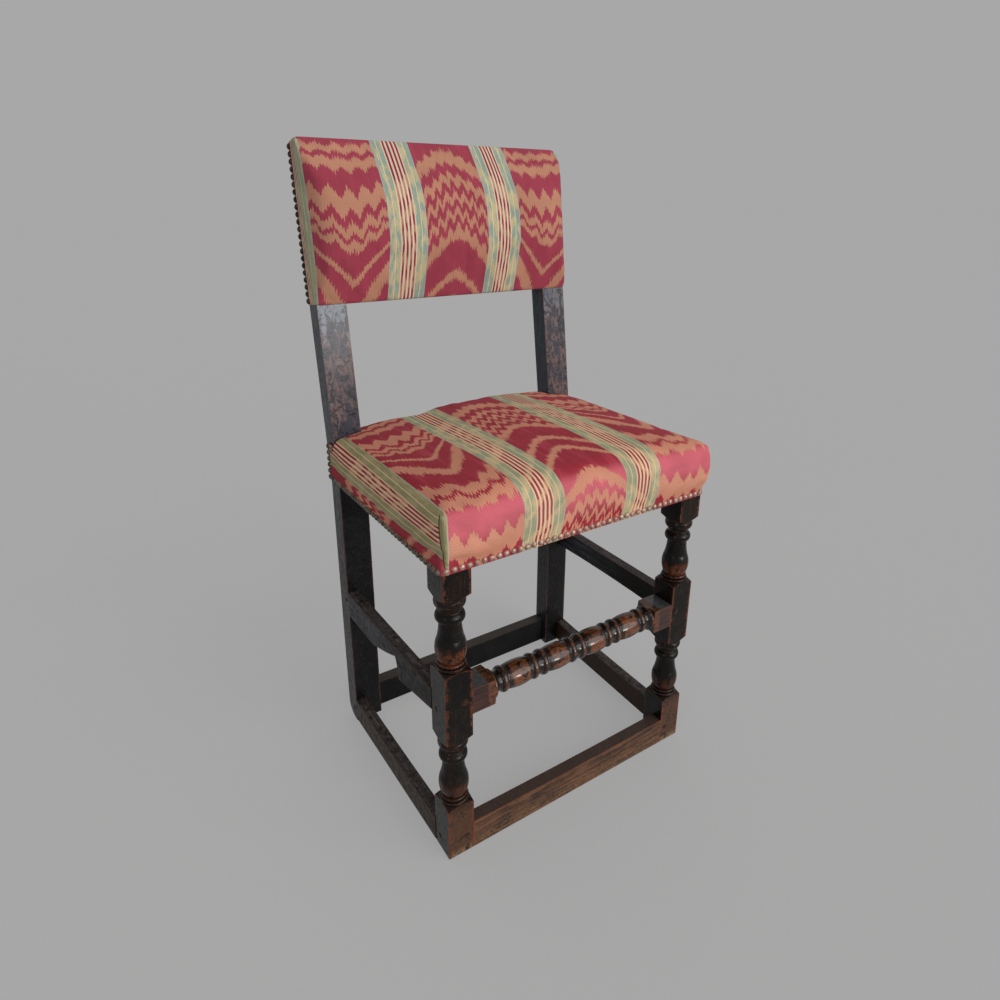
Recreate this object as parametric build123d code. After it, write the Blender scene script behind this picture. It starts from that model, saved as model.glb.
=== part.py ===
from build123d import *
import math
import os

# A joined oak back-stool: square and turned legs, pegged mortise and tenon joints, and an
# upholstered seat and back held by dome-headed nails. Millimetres, +Z up, front towards -Y.
# While the chair is built, z = 0 is the floor and y = 0 the front face of the front legs.
# It is written with its origin at the middle of its bounding box, on the floor.

LEFT = -1
RIGHT = 1
SIDES = {"left": LEFT, "right": RIGHT}

# ================================================================ driving dimensions
# frame plan
front_width = 430.6          # over the outer faces of the front legs
back_width = 441.4           # over the outer faces of the back legs
frame_depth = 320.2          # front face of the front legs to front face of the back legs
front_leg_side = 39.0        # square section of the front legs
back_leg_width = 43.9        # along x
back_leg_depth = 33.5        # along y

# front leg, from the floor up: foot block, turning, middle block, turning, top block
foot_block_height = 86.5
mid_block_height = 108.0
shoulder_height = 7.5        # height over which the lathe rounds the corners of a block
shoulder_bow = 1.0           # how far that rounding bows
foot_bevel = 2.0             # worn lower edges of the feet

# one turned baluster, from its top down
turned_end_radius = 20.0
turning_lead = 3.0
torus_height = 12.5
torus_radius = 19.2
torus_bulge = 2.6
neck_height = 4.5
neck_radius = 14.4
collar_height = 14.5
collar_radius = 15.1         # at the collar's edges
collar_bulge = 4.1
vase_neck_height = 23.0
vase_belly_height = 31.0
vase_shoulder_radius = 17.4
vase_foot_radius = 16.8
vase_hollow = 0.7
vase_belly_bulge = 3.2
base_ring_height = 5.0
base_ring_radius = 17.0
base_ring_bulge = 2.0
base_disc_height = 4.5
base_disc_radius = 18.8
base_disc_bulge = 1.2
quirk_height = 0.5           # fine steps between the turned members
quirk_radius = 15.8

# back leg and upright, bent back just under the seat
knee_drop = 7.0              # from the seat rails' lower edge down to the bend
rake_angle = 7.8             # degrees
heel_radius = 24.0           # worn back edge of the foot
post_bevel = 13.0            # bevel on the upright's top front edge

# joints
tenon_thickness = 8.0
tenon_depth = 22.0
tenon_shoulder = 7.0         # from a rail's upper and lower edges to its tenon
tenon_cheek = 4.5            # from a rail's outer face to its tenon
seat_tenon_shoulder = 14.0
seat_tenon_cheek = 6.5
peg_radius = 3.5
peg_setback = 11.0           # from the shoulder of a tenon to its peg
peg_length = 24.0
peg_stagger = 4.0            # pegs on one face of a leg sit higher, on the other lower, by this
peg_proud = 0.6              # how far a peg stands out of an exposed face

# seat rails
rail_above_turning = 38.5    # from the top of the legs' turning to the rails' lower edge
seat_rail_height = 49.0
seat_rail_thickness = 22.0

# turned front stretcher: end blocks, end rings, and bobbins with ringed necks between
stretcher_rise = 56.0        # from the foot of the middle block to the stretcher's axis
stretcher_block = 37.5       # square section of its end blocks
stretcher_block_length = 29.0
stretcher_shoulder = 6.5
end_bead_length = 3.5
end_bead_radius = 19.3
end_bead_taper = 1.5         # how much its inner end is smaller
end_bead_bulge = 1.2
end_cove_length = 10.3
end_cove_radius = 14.8
end_cove_hollow = 1.6
bobbin_count = 4
bobbin_radius = 16.3         # at a bobbin's ends
bobbin_bulge = 1.9
ring_length = 9.0
ring_radius = 15.8
ring_bulge = 2.2
ring_neck_length = 7.6
ring_neck_radius = 15.3
ring_neck_hollow = 0.5
ring_quirk_length = 2.9
ring_quirk_radius = 15.4
ring_quirk_slope = 1.0

# plain stretchers
front_low_bottom = 2.0
front_low_height = 44.4
front_low_thickness = 18.5
front_low_dish = 1.6         # hollow worn into its top
side_low_bottom = 3.0
side_low_height = 39.0
side_low_bow = 2.0           # sag of its top edge
side_stretcher_thickness = 17.0
side_upper_rise = 67.5       # from the foot of the middle block to its top edge
side_upper_drop = 6.0        # how much lower its top edge is at the back leg
side_upper_height = 36.0
side_upper_bow = 3.0         # arch of its lower edge
back_low_bottom = 5.0
back_low_height = 46.0
back_low_thickness = 21.0
back_low_setback = 10.0      # from the front face of the back legs

# the left upper stretcher is deeper, with a scoop of wane under it
wane_depth = 9.0             # extra depth of this stretcher
wane_front_rise = 13.0       # at the front leg its lower edge is this much higher
wane_lip = 6.0               # the lip in front of the scoop hangs down this much
wane_start = 99.0            # from the front leg to the lip
wane_step = 9.0              # length of the scoop's steep front
wane_step_bend = 2.25        # where that front is half as high
wane_rise = 27.0             # height of the scoop
wane_length = 82.0           # from the scoop's peak back to its end
wane_sweep = 0.4             # share of its height that is left halfway back
wane_tail = 3.0              # the lower edge behind the scoop

# upholstered back, measured along the lean of the uprights
panel_start = 275.5          # bend of the upright to the underside of the lower back rail
panel_height = 222.7
back_rail_height = 42.0
back_rail_thickness = 22.0

# webs, base cloths and covers
cloth_gap = 0.3              # clearance between a cloth and what it lies on
cloth_thickness = 1.8
base_cloth_thickness = 0.9
web_width = 48.0
web_thickness = 1.5
web_end_gap = 4.0            # from a frame's outer face to the end of a web
web_margin = 10.0            # from the frame's inner sides to the field of webs
long_web_count = 4
cross_web_count = 3
back_web_count = 4

# form of the stuffed seat, heights above the seat rails' upper edge unless noted
hem_drop = 1.0               # the cover's hem hangs this much below the rails
seat_bulge = 11.5            # how far the front roll stands out past the rails
seat_bulge_height = 1.0
seat_nose_height = 28.0
seat_nose = 5.0              # how far the upper part of the roll stands out
seat_roll_height = 42.0
seat_roll_depth = 24.0       # from the front face back to the end of the roll
seat_crown = 48.0
seat_side_height = 35.0
seat_side_roll = 13.0        # radius of the roll along the sides
seat_fall = 0.03             # slope of the top towards the back, rise over run
seat_back_height = 42.0
seat_back_roll = 22.0        # height of the roll at the back
seat_back_bend = 5.5         # how far down that roll bends
seat_middle_rise = 6.0       # the side rolls' top stands this much over the crown
seat_corner_radius = 11.0
corner_overrun = 0.4         # the rounded corner is drawn this far outside the side face
wrap_height = 60.0           # from the hem to the top of the cloth on the back legs

# form of the stuffed back
back_bulge = 33.0
back_bulge_height = 116.0    # above the underside of the lower back rail
back_top_roll = 5.8          # above the top rail
crest_setback = 8.0          # from the front face of the uprights to the crest
back_top_bend = 25.1         # and to the middle of the slope behind it
back_top_bend_rise = 0.4     # how far that slope bows up
back_side_bulge = 5.0        # what is left of the bulge at the side edges
back_side_roll = 36.0        # width over which it rolls off at either side
back_roll_swell = 6.5        # how full that roll is

# dome nails
nail_pitch = 10.2
nail_head_radius = 4.4
nail_head_height = 3.1
nail_shank_radius = 0.8
nail_shank_length = 9.0
nail_point_length = 2.0
nail_rise = 7.5              # from the hem to the front and back rows
side_nail_drop = 2.2         # the side rows run this much lower
nail_edge = 5.0              # from the end of a row to its first nail
rear_nail_margin = 15.0      # from the panel's side edges to the rows on its back

# web tacks
tack_head_radius = 2.6
tack_head_height = 0.8
tack_shank_radius = 0.7
tack_shank_length = 8.0
tacks_per_end = 3
tack_inset = 10.0            # from the end of a web to its tacks

# ================================================================ sizes that follow
# a baluster as (height, radius at its lower end, outward bulge), from its top down
baluster = [
    (turning_lead, torus_radius, -vase_hollow / 2),
    (torus_height, quirk_radius, torus_bulge),
    (quirk_height, neck_radius, 0),
    (neck_height, neck_radius, 0),
    (2 * quirk_height, collar_radius, 0),
    (collar_height, collar_radius, collar_bulge),
    (2 * quirk_height, neck_radius, 0),
    (vase_neck_height, vase_shoulder_radius, -vase_hollow),
    (vase_belly_height, vase_foot_radius, vase_belly_bulge),
    (quirk_height, quirk_radius, 0),
    (2 * quirk_height, quirk_radius, 0),
    (base_ring_height, base_ring_radius, base_ring_bulge),
    (quirk_height, base_disc_radius, 0),
    (base_disc_height, base_disc_radius, base_disc_bulge),
    (quirk_height, turned_end_radius, 0),
]
baluster_height = sum(height for height, _, _ in baluster)
mid_block_bottom = foot_block_height + baluster_height
mid_block_top = mid_block_bottom + mid_block_height
top_block_bottom = mid_block_top + baluster_height
seat_rail_bottom = top_block_bottom + rail_above_turning
seat_rail_top = seat_rail_bottom + seat_rail_height
knee_height = seat_rail_bottom - knee_drop
panel_end = panel_start + panel_height

front_half = front_width / 2
back_half = back_width / 2
front_leg_inner = front_half - front_leg_side
back_leg_inner = back_half - back_leg_width
frame_back = frame_depth + back_leg_depth
splay = math.atan((back_half - front_half) / frame_depth)
rake = math.radians(rake_angle)

stretcher_axis = mid_block_bottom + stretcher_rise
side_upper_top = mid_block_bottom + side_upper_rise
upper_tenon = (side_upper_top - side_upper_height + tenon_shoulder,
               side_upper_top - side_upper_drop - tenon_shoulder)
side_low_tenon = (side_low_bottom + tenon_shoulder,
                  side_low_bottom + side_low_height - tenon_shoulder)
front_low_tenon = (front_low_bottom + tenon_shoulder,
                   front_low_bottom + front_low_height - tenon_shoulder)
back_low_tenon = (back_low_bottom + tenon_shoulder,
                  back_low_bottom + back_low_height - tenon_shoulder)
seat_tenon = (seat_rail_bottom + seat_tenon_shoulder, seat_rail_top - seat_tenon_shoulder)

cover_out = cloth_gap + cloth_thickness
hem = seat_rail_bottom - hem_drop
wrap_top = hem + wrap_height
side_rail_top = seat_rail_top - web_thickness
seat_cloth_bottom = seat_rail_top + web_thickness + tack_head_height
seat_cloth_top = seat_cloth_bottom + base_cloth_thickness
seat_ceiling = seat_rail_top + seat_crown + seat_roll_height
back_rail_front = back_leg_depth - back_rail_thickness
back_web_front = back_rail_front - web_thickness
back_cloth_rear = back_web_front - tack_head_height
beyond = back_width          # long enough for a cutting solid to pass right through


# ================================================================ drawing helpers
def block(x0, x1, y0, y1, z0, z1):
    """A box between two corners, given in any order."""
    centre = Location(((x0 + x1) / 2, (y0 + y1) / 2, (z0 + z1) / 2))
    return centre * Box(abs(x1 - x0), abs(y1 - y0), abs(z1 - z0))


def outline_face(edges):
    return make_face(Wire(edges))


def chain(points):
    """Straight edges through the points and back to the first."""
    return [Line(a, b) for a, b in zip(points, points[1:] + points[:1])]


def plan_prism(points, z0, z1):
    """A plan outline, (x, y), raised from z0 to z1."""
    face = outline_face(chain([(x, y, z0) for x, y in points]))
    return extrude(face, amount=z1 - z0, dir=(0, 0, 1))


def side_prism(points, x0, x1):
    """A side outline, (y, z), stretched between two values of x."""
    low, high = sorted((x0, x1))
    face = outline_face(chain([(low, y, z) for y, z in points]))
    return extrude(face, amount=high - low, dir=(1, 0, 0))


def side_sheet(edges, width=2 * beyond):
    """Closed edges drawn in the plane x = -beyond, stretched towards +x."""
    return extrude(outline_face(edges), amount=width, dir=(1, 0, 0))


def turned_edge(start, end, bulge):
    """An edge of a lathe profile that runs downwards and stands outwards by bulge."""
    if bulge == 0:
        return Line(start, end)
    a, b = Vector(*start), Vector(*end)
    along = (b - a).normalized()
    outward = Vector(-along.Z, 0, along.X)
    return ThreePointArc(a, (a + b) * 0.5 + outward * bulge, b)


def turned(stations):
    """A turned solid about the z axis from (z, radius, bulge) stations, from the top down."""
    top, bottom = stations[0], stations[-1]
    edges = [Line((0, 0, top[0]), (top[1], 0, top[0]))]
    for (z0, r0, _), (z1, r1, bulge) in zip(stations, stations[1:]):
        edges.append(turned_edge((r0, 0, z0), (r1, 0, z1), bulge))
    edges.append(Line((bottom[1], 0, bottom[0]), (0, 0, bottom[0])))
    edges.append(Line((0, 0, bottom[0]), (0, 0, top[0])))
    return revolve(outline_face(edges), Axis.Z, 360)


def boxes_meet(a, b):
    return (a.min.X <= b.max.X and b.min.X <= a.max.X and a.min.Y <= b.max.Y
            and b.min.Y <= a.max.Y and a.min.Z <= b.max.Z and b.min.Z <= a.max.Z)


def cut(piece, tools):
    """The piece less those of the tools that reach it."""
    room = piece.bounding_box()
    near = [tool for tool in tools if boxes_meet(room, tool.bounding_box())]
    return piece - near if near else piece


def largest(shape):
    return max(shape.solids(), key=lambda solid: solid.volume)


def group(pieces):
    """Separate solids that share one node."""
    return Compound(children=[piece.solids()[0] for piece in pieces])


def spaced(start, end, pitch):
    """Even places from start to end, both included, about a pitch apart."""
    count = max(1, round(abs(end - start) / pitch))
    return [start + (end - start) * i / count for i in range(count + 1)]


def even_places(count, width):
    """Centres of strips spread evenly over a width about zero."""
    step = width / count
    return [(i + 0.5) * step - width / 2 for i in range(count)]


# ================================================================ places on the frame
def side_x(y):
    """Half-width over the outer faces of the splayed sides at y."""
    return front_half + y * math.tan(splay)


def side_strip(side, inset, thickness, y0, y1):
    """Plan outline of a strip along one side, inset from the outer faces."""
    outer = [(side * (side_x(y) - inset), y) for y in (y0, y1)]
    inner = [(side * (side_x(y) - inset - thickness), y) for y in (y1, y0)]
    return outer + inner


def upright_face(z):
    """y of the back leg's front face at height z."""
    return frame_depth + max(0, z - knee_height) * math.tan(rake)


def upright_rear(z):
    """y of the back leg's rear face at height z."""
    rear_knee = knee_height - back_leg_depth * math.tan(rake / 2)
    return frame_back + max(0, z - rear_knee) * math.tan(rake)


def lean():
    """The frame of the uprights: x, depth behind their front face, distance from the bend."""
    return Location((0, frame_depth, knee_height), (-rake_angle, 0, 0))


# ================================================================ tenons and pegs
def cross_tenon(side, shoulder, y, heights):
    """A tenon that runs outwards along x into a leg from the shoulder."""
    return block(side * shoulder, side * (shoulder + tenon_depth), y, y + tenon_thickness,
                 *heights)


def side_tenon(side, y0, y1, heights):
    """A tenon that runs along one side of the chair from y0 to y1."""
    return plan_prism(side_strip(side, tenon_cheek, tenon_thickness, y0, y1), *heights)


def peg():
    """A peg with its outer end on z = 0, running down."""
    return Cylinder(peg_radius, peg_length, align=(Align.CENTER, Align.CENTER, Align.MAX))


def middle(heights):
    return sum(heights) / 2


def side_peg_heights():
    """Heights of the pegs in a leg's outer face, and how far each stands out."""
    return [(middle(upper_tenon) - peg_stagger, peg_proud),
            (middle(side_low_tenon) - peg_stagger, peg_proud),
            (middle(seat_tenon) - peg_stagger, 0)]


def front_leg_pegs():
    """Pegs driven from the front and from the outer side of each front leg."""
    from_front = [(stretcher_axis + peg_stagger, peg_proud),
                  (middle(front_low_tenon) + peg_stagger, peg_proud),
                  (middle(seat_tenon) + peg_stagger, 0)]
    pegs = []
    for side in SIDES.values():
        x = side * (front_leg_inner + peg_setback)
        pegs += [Location((x, -proud, z), (90, 0, 0)) * peg() for z, proud in from_front]
        y = front_leg_side - peg_setback
        pegs += [Location((side * (front_half + proud), y, z), (0, 90 * side, 0)) * peg()
                 for z, proud in side_peg_heights()]
    return pegs


def back_leg_pegs():
    """Pegs driven from the outer side and from the rear of each back leg."""
    back_rail_mid = back_rail_height / 2
    low, high = middle(back_low_tenon) + peg_stagger, middle(seat_tenon) + peg_stagger
    pegs = []
    for side in SIDES.values():
        for z, proud in side_peg_heights():
            place = (side * (back_half + proud), upright_face(z) + peg_setback, z)
            pegs.append(Location(place, (0, 90 * side, 0)) * peg())
        x = side * (back_leg_inner + peg_setback)
        pegs.append(Location((x, frame_back + peg_proud, low), (-90, 0, 0)) * peg())
        pegs.append(Location((x, upright_rear(high), high), (-90 - rake_angle, 0, 0)) * peg())
        for up in (panel_start + back_rail_mid, panel_end - back_rail_mid):
            pegs.append(lean() * Location((x, back_leg_depth, up), (-90, 0, 0)) * peg())
    return pegs


# ================================================================ rails and stretchers
def cross_member(half, y0, y1, z0, z1, tenon_y, heights):
    """A rail along x between two legs, with a tenon at each end."""
    rail = block(-half, half, y0, y1, z0, z1)
    for side in SIDES.values():
        rail += cross_tenon(side, half, tenon_y, heights)
    return rail


def seat_rail_front():
    return cross_member(front_leg_inner, 0, seat_rail_thickness, seat_rail_bottom,
                        seat_rail_top, seat_tenon_cheek, seat_tenon)


def seat_rail_back():
    front = frame_back - seat_rail_thickness
    return cross_member(back_leg_inner, front, frame_back, seat_rail_bottom, seat_rail_top,
                        front + seat_tenon_cheek, seat_tenon)


def seat_rail_side(side):
    """A side seat rail, its rear end cut to the lean of the upright."""
    low, high = seat_rail_bottom, side_rail_top
    outline = [(front_leg_side, low), (upright_face(low), low), (upright_face(high), high),
               (front_leg_side, high)]
    strip = plan_prism(side_strip(side, 0, seat_rail_thickness, 0, frame_back), low, high)
    rail = side_prism(outline, -beyond, beyond) & strip
    rail += side_tenon(side, front_leg_side - tenon_depth, front_leg_side, seat_tenon)
    rear_end = upright_face(seat_tenon[0]) + tenon_depth
    return rail + side_tenon(side, frame_depth - tenon_shoulder, rear_end, seat_tenon)


def back_low_stretcher():
    front = frame_depth + back_low_setback
    return cross_member(back_leg_inner, front, front + back_low_thickness, back_low_bottom,
                        back_low_bottom + back_low_height, front + tenon_cheek, back_low_tenon)


def front_low_stretcher():
    """The stretcher near the floor, its top dished by wear."""
    half, low, top = front_leg_inner, front_low_bottom, front_low_bottom + front_low_height
    edges = [Line((-half, 0, low), (half, 0, low)), Line((half, 0, low), (half, 0, top)),
             ThreePointArc((half, 0, top), (0, 0, top - front_low_dish), (-half, 0, top)),
             Line((-half, 0, top), (-half, 0, low))]
    rail = extrude(outline_face(edges), amount=front_low_thickness, dir=(0, 1, 0))
    for side in SIDES.values():
        rail += cross_tenon(side, half, tenon_cheek, front_low_tenon)
    return rail


def side_member(side, edges, heights):
    """A side stretcher from its closed side outline and the heights of its tenons."""
    strip = side_strip(side, 0, side_stretcher_thickness, 0, frame_back)
    member = side_sheet(edges) & plan_prism(strip, 0, seat_rail_bottom)
    member += side_tenon(side, front_leg_side - tenon_depth, front_leg_side, heights)
    return member + side_tenon(side, frame_depth, frame_depth + tenon_depth, heights)


def side_low_stretcher(side):
    low, top = side_low_bottom, side_low_bottom + side_low_height
    front, rear, x = front_leg_side, frame_depth, -beyond
    sag = (x, (front + rear) / 2, top - side_low_bow)
    edges = [Line((x, front, low), (x, rear, low)), Line((x, rear, low), (x, rear, top)),
             ThreePointArc((x, rear, top), sag, (x, front, top)),
             Line((x, front, top), (x, front, low))]
    return side_member(side, edges, side_low_tenon)


def upper_stretcher_right():
    """The straight upper side stretcher, slightly arched underneath."""
    front, rear, x = front_leg_side, frame_depth, -beyond
    top, rear_top = side_upper_top, side_upper_top - side_upper_drop
    low, rear_low = top - side_upper_height, rear_top - side_upper_height
    arch = (x, (front + rear) / 2, (low + rear_low) / 2 + side_upper_bow)
    edges = [ThreePointArc((x, front, low), arch, (x, rear, rear_low)),
             Line((x, rear, rear_low), (x, rear, rear_top)),
             Line((x, rear, rear_top), (x, front, top)), Line((x, front, top), (x, front, low))]
    return side_member(RIGHT, edges, upper_tenon)


def upper_stretcher_left():
    """The deeper upper side stretcher, with a scoop of wane under it."""
    front, rear, x = front_leg_side, frame_depth, -beyond
    top, rear_top = side_upper_top, side_upper_top - side_upper_drop
    low = top - side_upper_height - wane_depth
    scoop = low + wane_rise
    corner = (x, front, low + wane_front_rise)
    lip = (x, front + wane_start, low - wane_lip)
    step = (x, lip[1] + wane_step_bend, (lip[2] + scoop) / 2)
    peak = (x, lip[1] + wane_step, scoop)
    sweep = (x, peak[1] + wane_length / 2, low + (scoop - low) * wane_sweep)
    tail = (x, peak[1] + wane_length, low - wane_tail / 2)
    heel, rear_corner = (x, rear, low - wane_tail), (x, rear, rear_top)
    edges = [Line(corner, lip), ThreePointArc(lip, step, peak), ThreePointArc(peak, sweep, tail),
             Line(tail, heel), Line(heel, rear_corner), Line(rear_corner, (x, front, top)),
             Line((x, front, top), corner)]
    return side_member(LEFT, edges, upper_tenon)


def back_rail(start):
    """A rail between the uprights; start is its lower edge, up from the bend."""
    rail = cross_member(back_leg_inner, back_rail_front, back_leg_depth, start,
                        start + back_rail_height, back_rail_front + seat_tenon_cheek,
                        (start + tenon_shoulder, start + back_rail_height - tenon_shoulder))
    return lean() * rail


# ================================================================ turned front stretcher
def end_stages():
    """From the outer end of the stretcher to the first bobbin: (length, radius, bulge)."""
    return [(stretcher_block_length, stretcher_block, 0),
            (stretcher_shoulder, end_bead_radius, shoulder_bow),
            (end_bead_length, end_bead_radius - end_bead_taper, end_bead_bulge),
            (end_cove_length - quirk_height, end_cove_radius, -end_cove_hollow),
            (quirk_height, ring_radius, 0),
            (ring_length, ring_radius, ring_bulge),
            (0, ring_quirk_radius, 0),
            (ring_quirk_length - ring_quirk_slope, ring_quirk_radius, 0),
            (ring_quirk_slope, bobbin_radius, 0)]


def neck_stages():
    """The ringed neck between two bobbins."""
    flat = ring_quirk_length - ring_quirk_slope
    return [(ring_quirk_slope, ring_quirk_radius, 0), (flat, ring_quirk_radius, 0),
            (0, ring_radius, 0), (ring_length, ring_radius, ring_bulge),
            (0, ring_neck_radius, 0), (ring_neck_length, ring_neck_radius, -ring_neck_hollow),
            (0, ring_radius, 0), (ring_length, ring_radius, ring_bulge),
            (0, ring_quirk_radius, 0), (flat, ring_quirk_radius, 0),
            (ring_quirk_slope, bobbin_radius, 0)]


def reversed_stages(stages, first_radius):
    """The same stages run the other way, which start where these end."""
    radii = [first_radius] + [radius for _, radius, _ in stages[:-1]]
    backwards = list(zip(stages, radii))[::-1]
    return [(length, radius, bulge) for (length, _, bulge), radius in backwards]


def turned_front_stretcher():
    """Bobbins fill the length that the end blocks and the ringed necks leave."""
    half = front_leg_inner
    ends = sum(length for length, _, _ in end_stages())
    necks = (bobbin_count - 1) * sum(length for length, _, _ in neck_stages())
    bobbin = ((2 * half - 2 * ends - necks) / bobbin_count, bobbin_radius, bobbin_bulge)
    stages = end_stages()
    for number in range(bobbin_count):
        stages += [bobbin] + (neck_stages() if number < bobbin_count - 1 else [])
    stages += reversed_stages(end_stages(), stretcher_block)
    stations = [(half, stretcher_block, 0)]
    for length, radius, bulge in stages:
        stations.append((stations[-1][0] - length, radius, bulge))
    spindle = Box(stretcher_block, stretcher_block, 2 * half) & turned(stations)
    centre = stretcher_block / 2
    stretcher = Location((0, centre, stretcher_axis), (0, 90, 0)) * spindle
    reach = centre - tenon_shoulder
    heights = (stretcher_axis - reach, stretcher_axis + reach)
    for side in SIDES.values():
        stretcher += cross_tenon(side, half, centre - tenon_thickness / 2, heights)
    return stretcher


# ================================================================ legs
def front_leg(side):
    """A square stick with two turned balusters between its three blocks."""
    full = front_leg_side
    stations = [(seat_rail_top, full, 0), (top_block_bottom + shoulder_height, full, 0),
                (top_block_bottom, turned_end_radius, -shoulder_bow)]
    for block_top, block_bottom in ((mid_block_top, mid_block_bottom), (foot_block_height, 0)):
        for height, radius, bulge in baluster:
            stations.append((stations[-1][0] - height, radius, bulge))
        stations.append((block_top - shoulder_height, full, -shoulder_bow))
        if block_bottom > 0:
            stations.append((block_bottom + shoulder_height, full, 0))
            stations.append((block_bottom, turned_end_radius, -shoulder_bow))
    stations.append((0, full, 0))
    half = front_leg_side / 2
    leg = block(-half, half, -half, half, 0, seat_rail_top) & turned(stations)
    leg = chamfer(leg.faces().sort_by(Axis.Z)[0].edges(), foot_bevel)
    return Location((side * (front_half - half), half, 0)) * leg


def back_leg(side):
    """A plain stick, upright to the bend and leaning back above it."""
    up = (math.sin(rake), math.cos(rake))
    back = (math.cos(rake), -math.sin(rake))

    def raked(depth, height):
        return (frame_depth + depth * back[0] + height * up[0],
                knee_height + depth * back[1] + height * up[1])

    rear_knee = knee_height - back_leg_depth * math.tan(rake / 2)
    outline = [(frame_depth, 0), (frame_depth, knee_height), raked(0, panel_end - post_bevel),
               raked(post_bevel, panel_end), raked(back_leg_depth, panel_end),
               (frame_back, rear_knee), (frame_back, 0)]
    leg = side_prism(outline, side * back_leg_inner, side * back_half)
    heel = leg.edges().filter_by(Axis.X).sort_by(Axis.Z)[:2].sort_by(Axis.Y)[-1]
    return fillet(heel, heel_radius)


# ================================================================ upholstered seat
def seat_side_view(grow):
    """The seat between its hem, the front roll, the crown and the back roll."""
    x, rear = -beyond, frame_back + grow
    lift = seat_rail_top + grow - cover_out
    low = (x, -grow, hem)
    front = (x, -grow, hem + nail_rise + nail_head_radius)
    bulge = (x, -grow - seat_bulge, seat_rail_top + seat_bulge_height)
    nose = (x, -grow - seat_nose, seat_rail_top + seat_nose_height)
    shoulder = (x, seat_nose - grow, lift + seat_roll_height - seat_nose)
    roll = (x, seat_roll_depth, lift + seat_roll_height)
    crown = (x, frame_depth / 2, lift + seat_crown)
    back = (x, frame_depth, lift + seat_back_height)
    slope = seat_back_bend
    turn = (x, rear - 2 * slope, lift + seat_back_height - slope)
    rear_top = (x, rear, lift + seat_back_height - seat_back_roll)
    rear_low = (x, rear, hem)
    return side_sheet([
        Line(low, front), ThreePointArc(front, bulge, nose), ThreePointArc(nose, shoulder, roll),
        ThreePointArc(roll, crown, back), ThreePointArc(back, turn, rear_top),
        Line(rear_top, rear_low), Line(rear_low, low)])


def seat_side_limit(grow):
    """Everything left of the right side face and its roll, under the crowned top."""
    start = -2 * front_leg_side
    half = side_x(start) + grow
    top = seat_rail_top + seat_side_height + grow - cover_out - start * seat_fall
    middle_top = top + seat_crown - seat_side_height + seat_middle_rise
    low = hem - back_leg_depth
    r = seat_side_roll - (cover_out - grow)
    arc_inset = r * (1 - math.sqrt(0.5))
    edges = [Line((-beyond, start, low), (half, start, low)),
             Line((half, start, low), (half, start, top - r)),
             ThreePointArc((half, start, top - r), (half - arc_inset, start, top - arc_inset),
                           (half - r, start, top)),
             ThreePointArc((half - r, start, top), (0, start, middle_top), (r - half, start, top)),
             Line((r - half, start, top), (-beyond, start, top)),
             Line((-beyond, start, top), (-beyond, start, low))]
    away = Vector(math.tan(splay), 1, -seat_fall)
    return extrude(outline_face(edges), amount=away.length * beyond, dir=away)


def seat_plan(grow):
    """Plan of the seat with rounded front corners."""
    front, rear = -seat_bulge - grow, frame_back + back_leg_depth
    wide = grow + corner_overrun
    right = [(side_x(front) + wide, front), (side_x(rear) + wide, rear)]
    left = [(-x, y) for x, y in reversed(right)]
    body = plan_prism(right + left, hem, seat_ceiling)
    corners = body.edges().filter_by(Axis.Z).sort_by(Axis.Y)[:2]
    return fillet(corners, seat_corner_radius - (cover_out - grow))


def seat_form(grow):
    """The seat's outer form, grown by that much past the frame."""
    right = seat_side_limit(grow)
    return seat_side_view(grow) & right & mirror(right, Plane.YZ) & seat_plan(grow)


def upright_room(side, clearance, outer, z0, z1):
    """The space that an upright takes out of the seat, open towards the rear."""
    outline = [(upright_face(z0) - clearance, z0), (frame_back + beyond, z0),
               (frame_back + beyond, z1), (upright_face(z1) - clearance, z1)]
    return side_prism(outline, side * (back_leg_inner - clearance), side * (back_half + outer))


def seat_cover():
    """The cloth shell, cut round the uprights and wrapped over their outer faces."""
    inner = seat_form(cloth_gap) + Location((0, 0, -cloth_thickness)) * seat_form(cloth_gap)
    cover = seat_form(cover_out) - inner
    for side in SIDES.values():
        cover -= upright_room(side, cloth_gap, cloth_gap, hem - hem_drop, seat_ceiling)
        cover -= upright_room(side, cloth_gap, beyond, wrap_top, seat_ceiling)
    return largest(cover)


def seat_stuffing():
    low = seat_cloth_top + cloth_gap
    filling = seat_form(0) & block(-beyond, beyond, -beyond, 2 * beyond, low, seat_ceiling)
    for side in SIDES.values():
        filling -= upright_room(side, cover_out + cloth_gap, beyond, hem, seat_ceiling)
    return largest(filling)


def seat_base_cloth():
    right = [(side_x(y), y) for y in (0, frame_back)]
    left = [(-x, y) for x, y in reversed(right)]
    cloth = plan_prism(right + left, seat_cloth_bottom, seat_cloth_top)
    for side in SIDES.values():
        cloth -= upright_room(side, 2 * cloth_gap, beyond, hem, seat_ceiling)
    return cloth


def web_places(count):
    return even_places(count, 2 * back_leg_inner - 2 * web_margin)


def seat_long_webs():
    return [block(x - web_width / 2, x + web_width / 2, web_end_gap, frame_back - web_end_gap,
                  seat_rail_top, seat_rail_top + web_thickness)
            for x in web_places(long_web_count)]


def cross_web_places():
    first, last = front_leg_side, frame_depth
    return [(first + last) / 2 + y for y in even_places(cross_web_count, last - first)]


def cross_web_reach(y):
    """Half the length of the cross web at y."""
    return side_x(y - web_width / 2) - web_end_gap


def seat_cross_webs():
    return [block(-cross_web_reach(y), cross_web_reach(y), y - web_width / 2, y + web_width / 2,
                  side_rail_top, seat_rail_top)
            for y in cross_web_places()]


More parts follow.
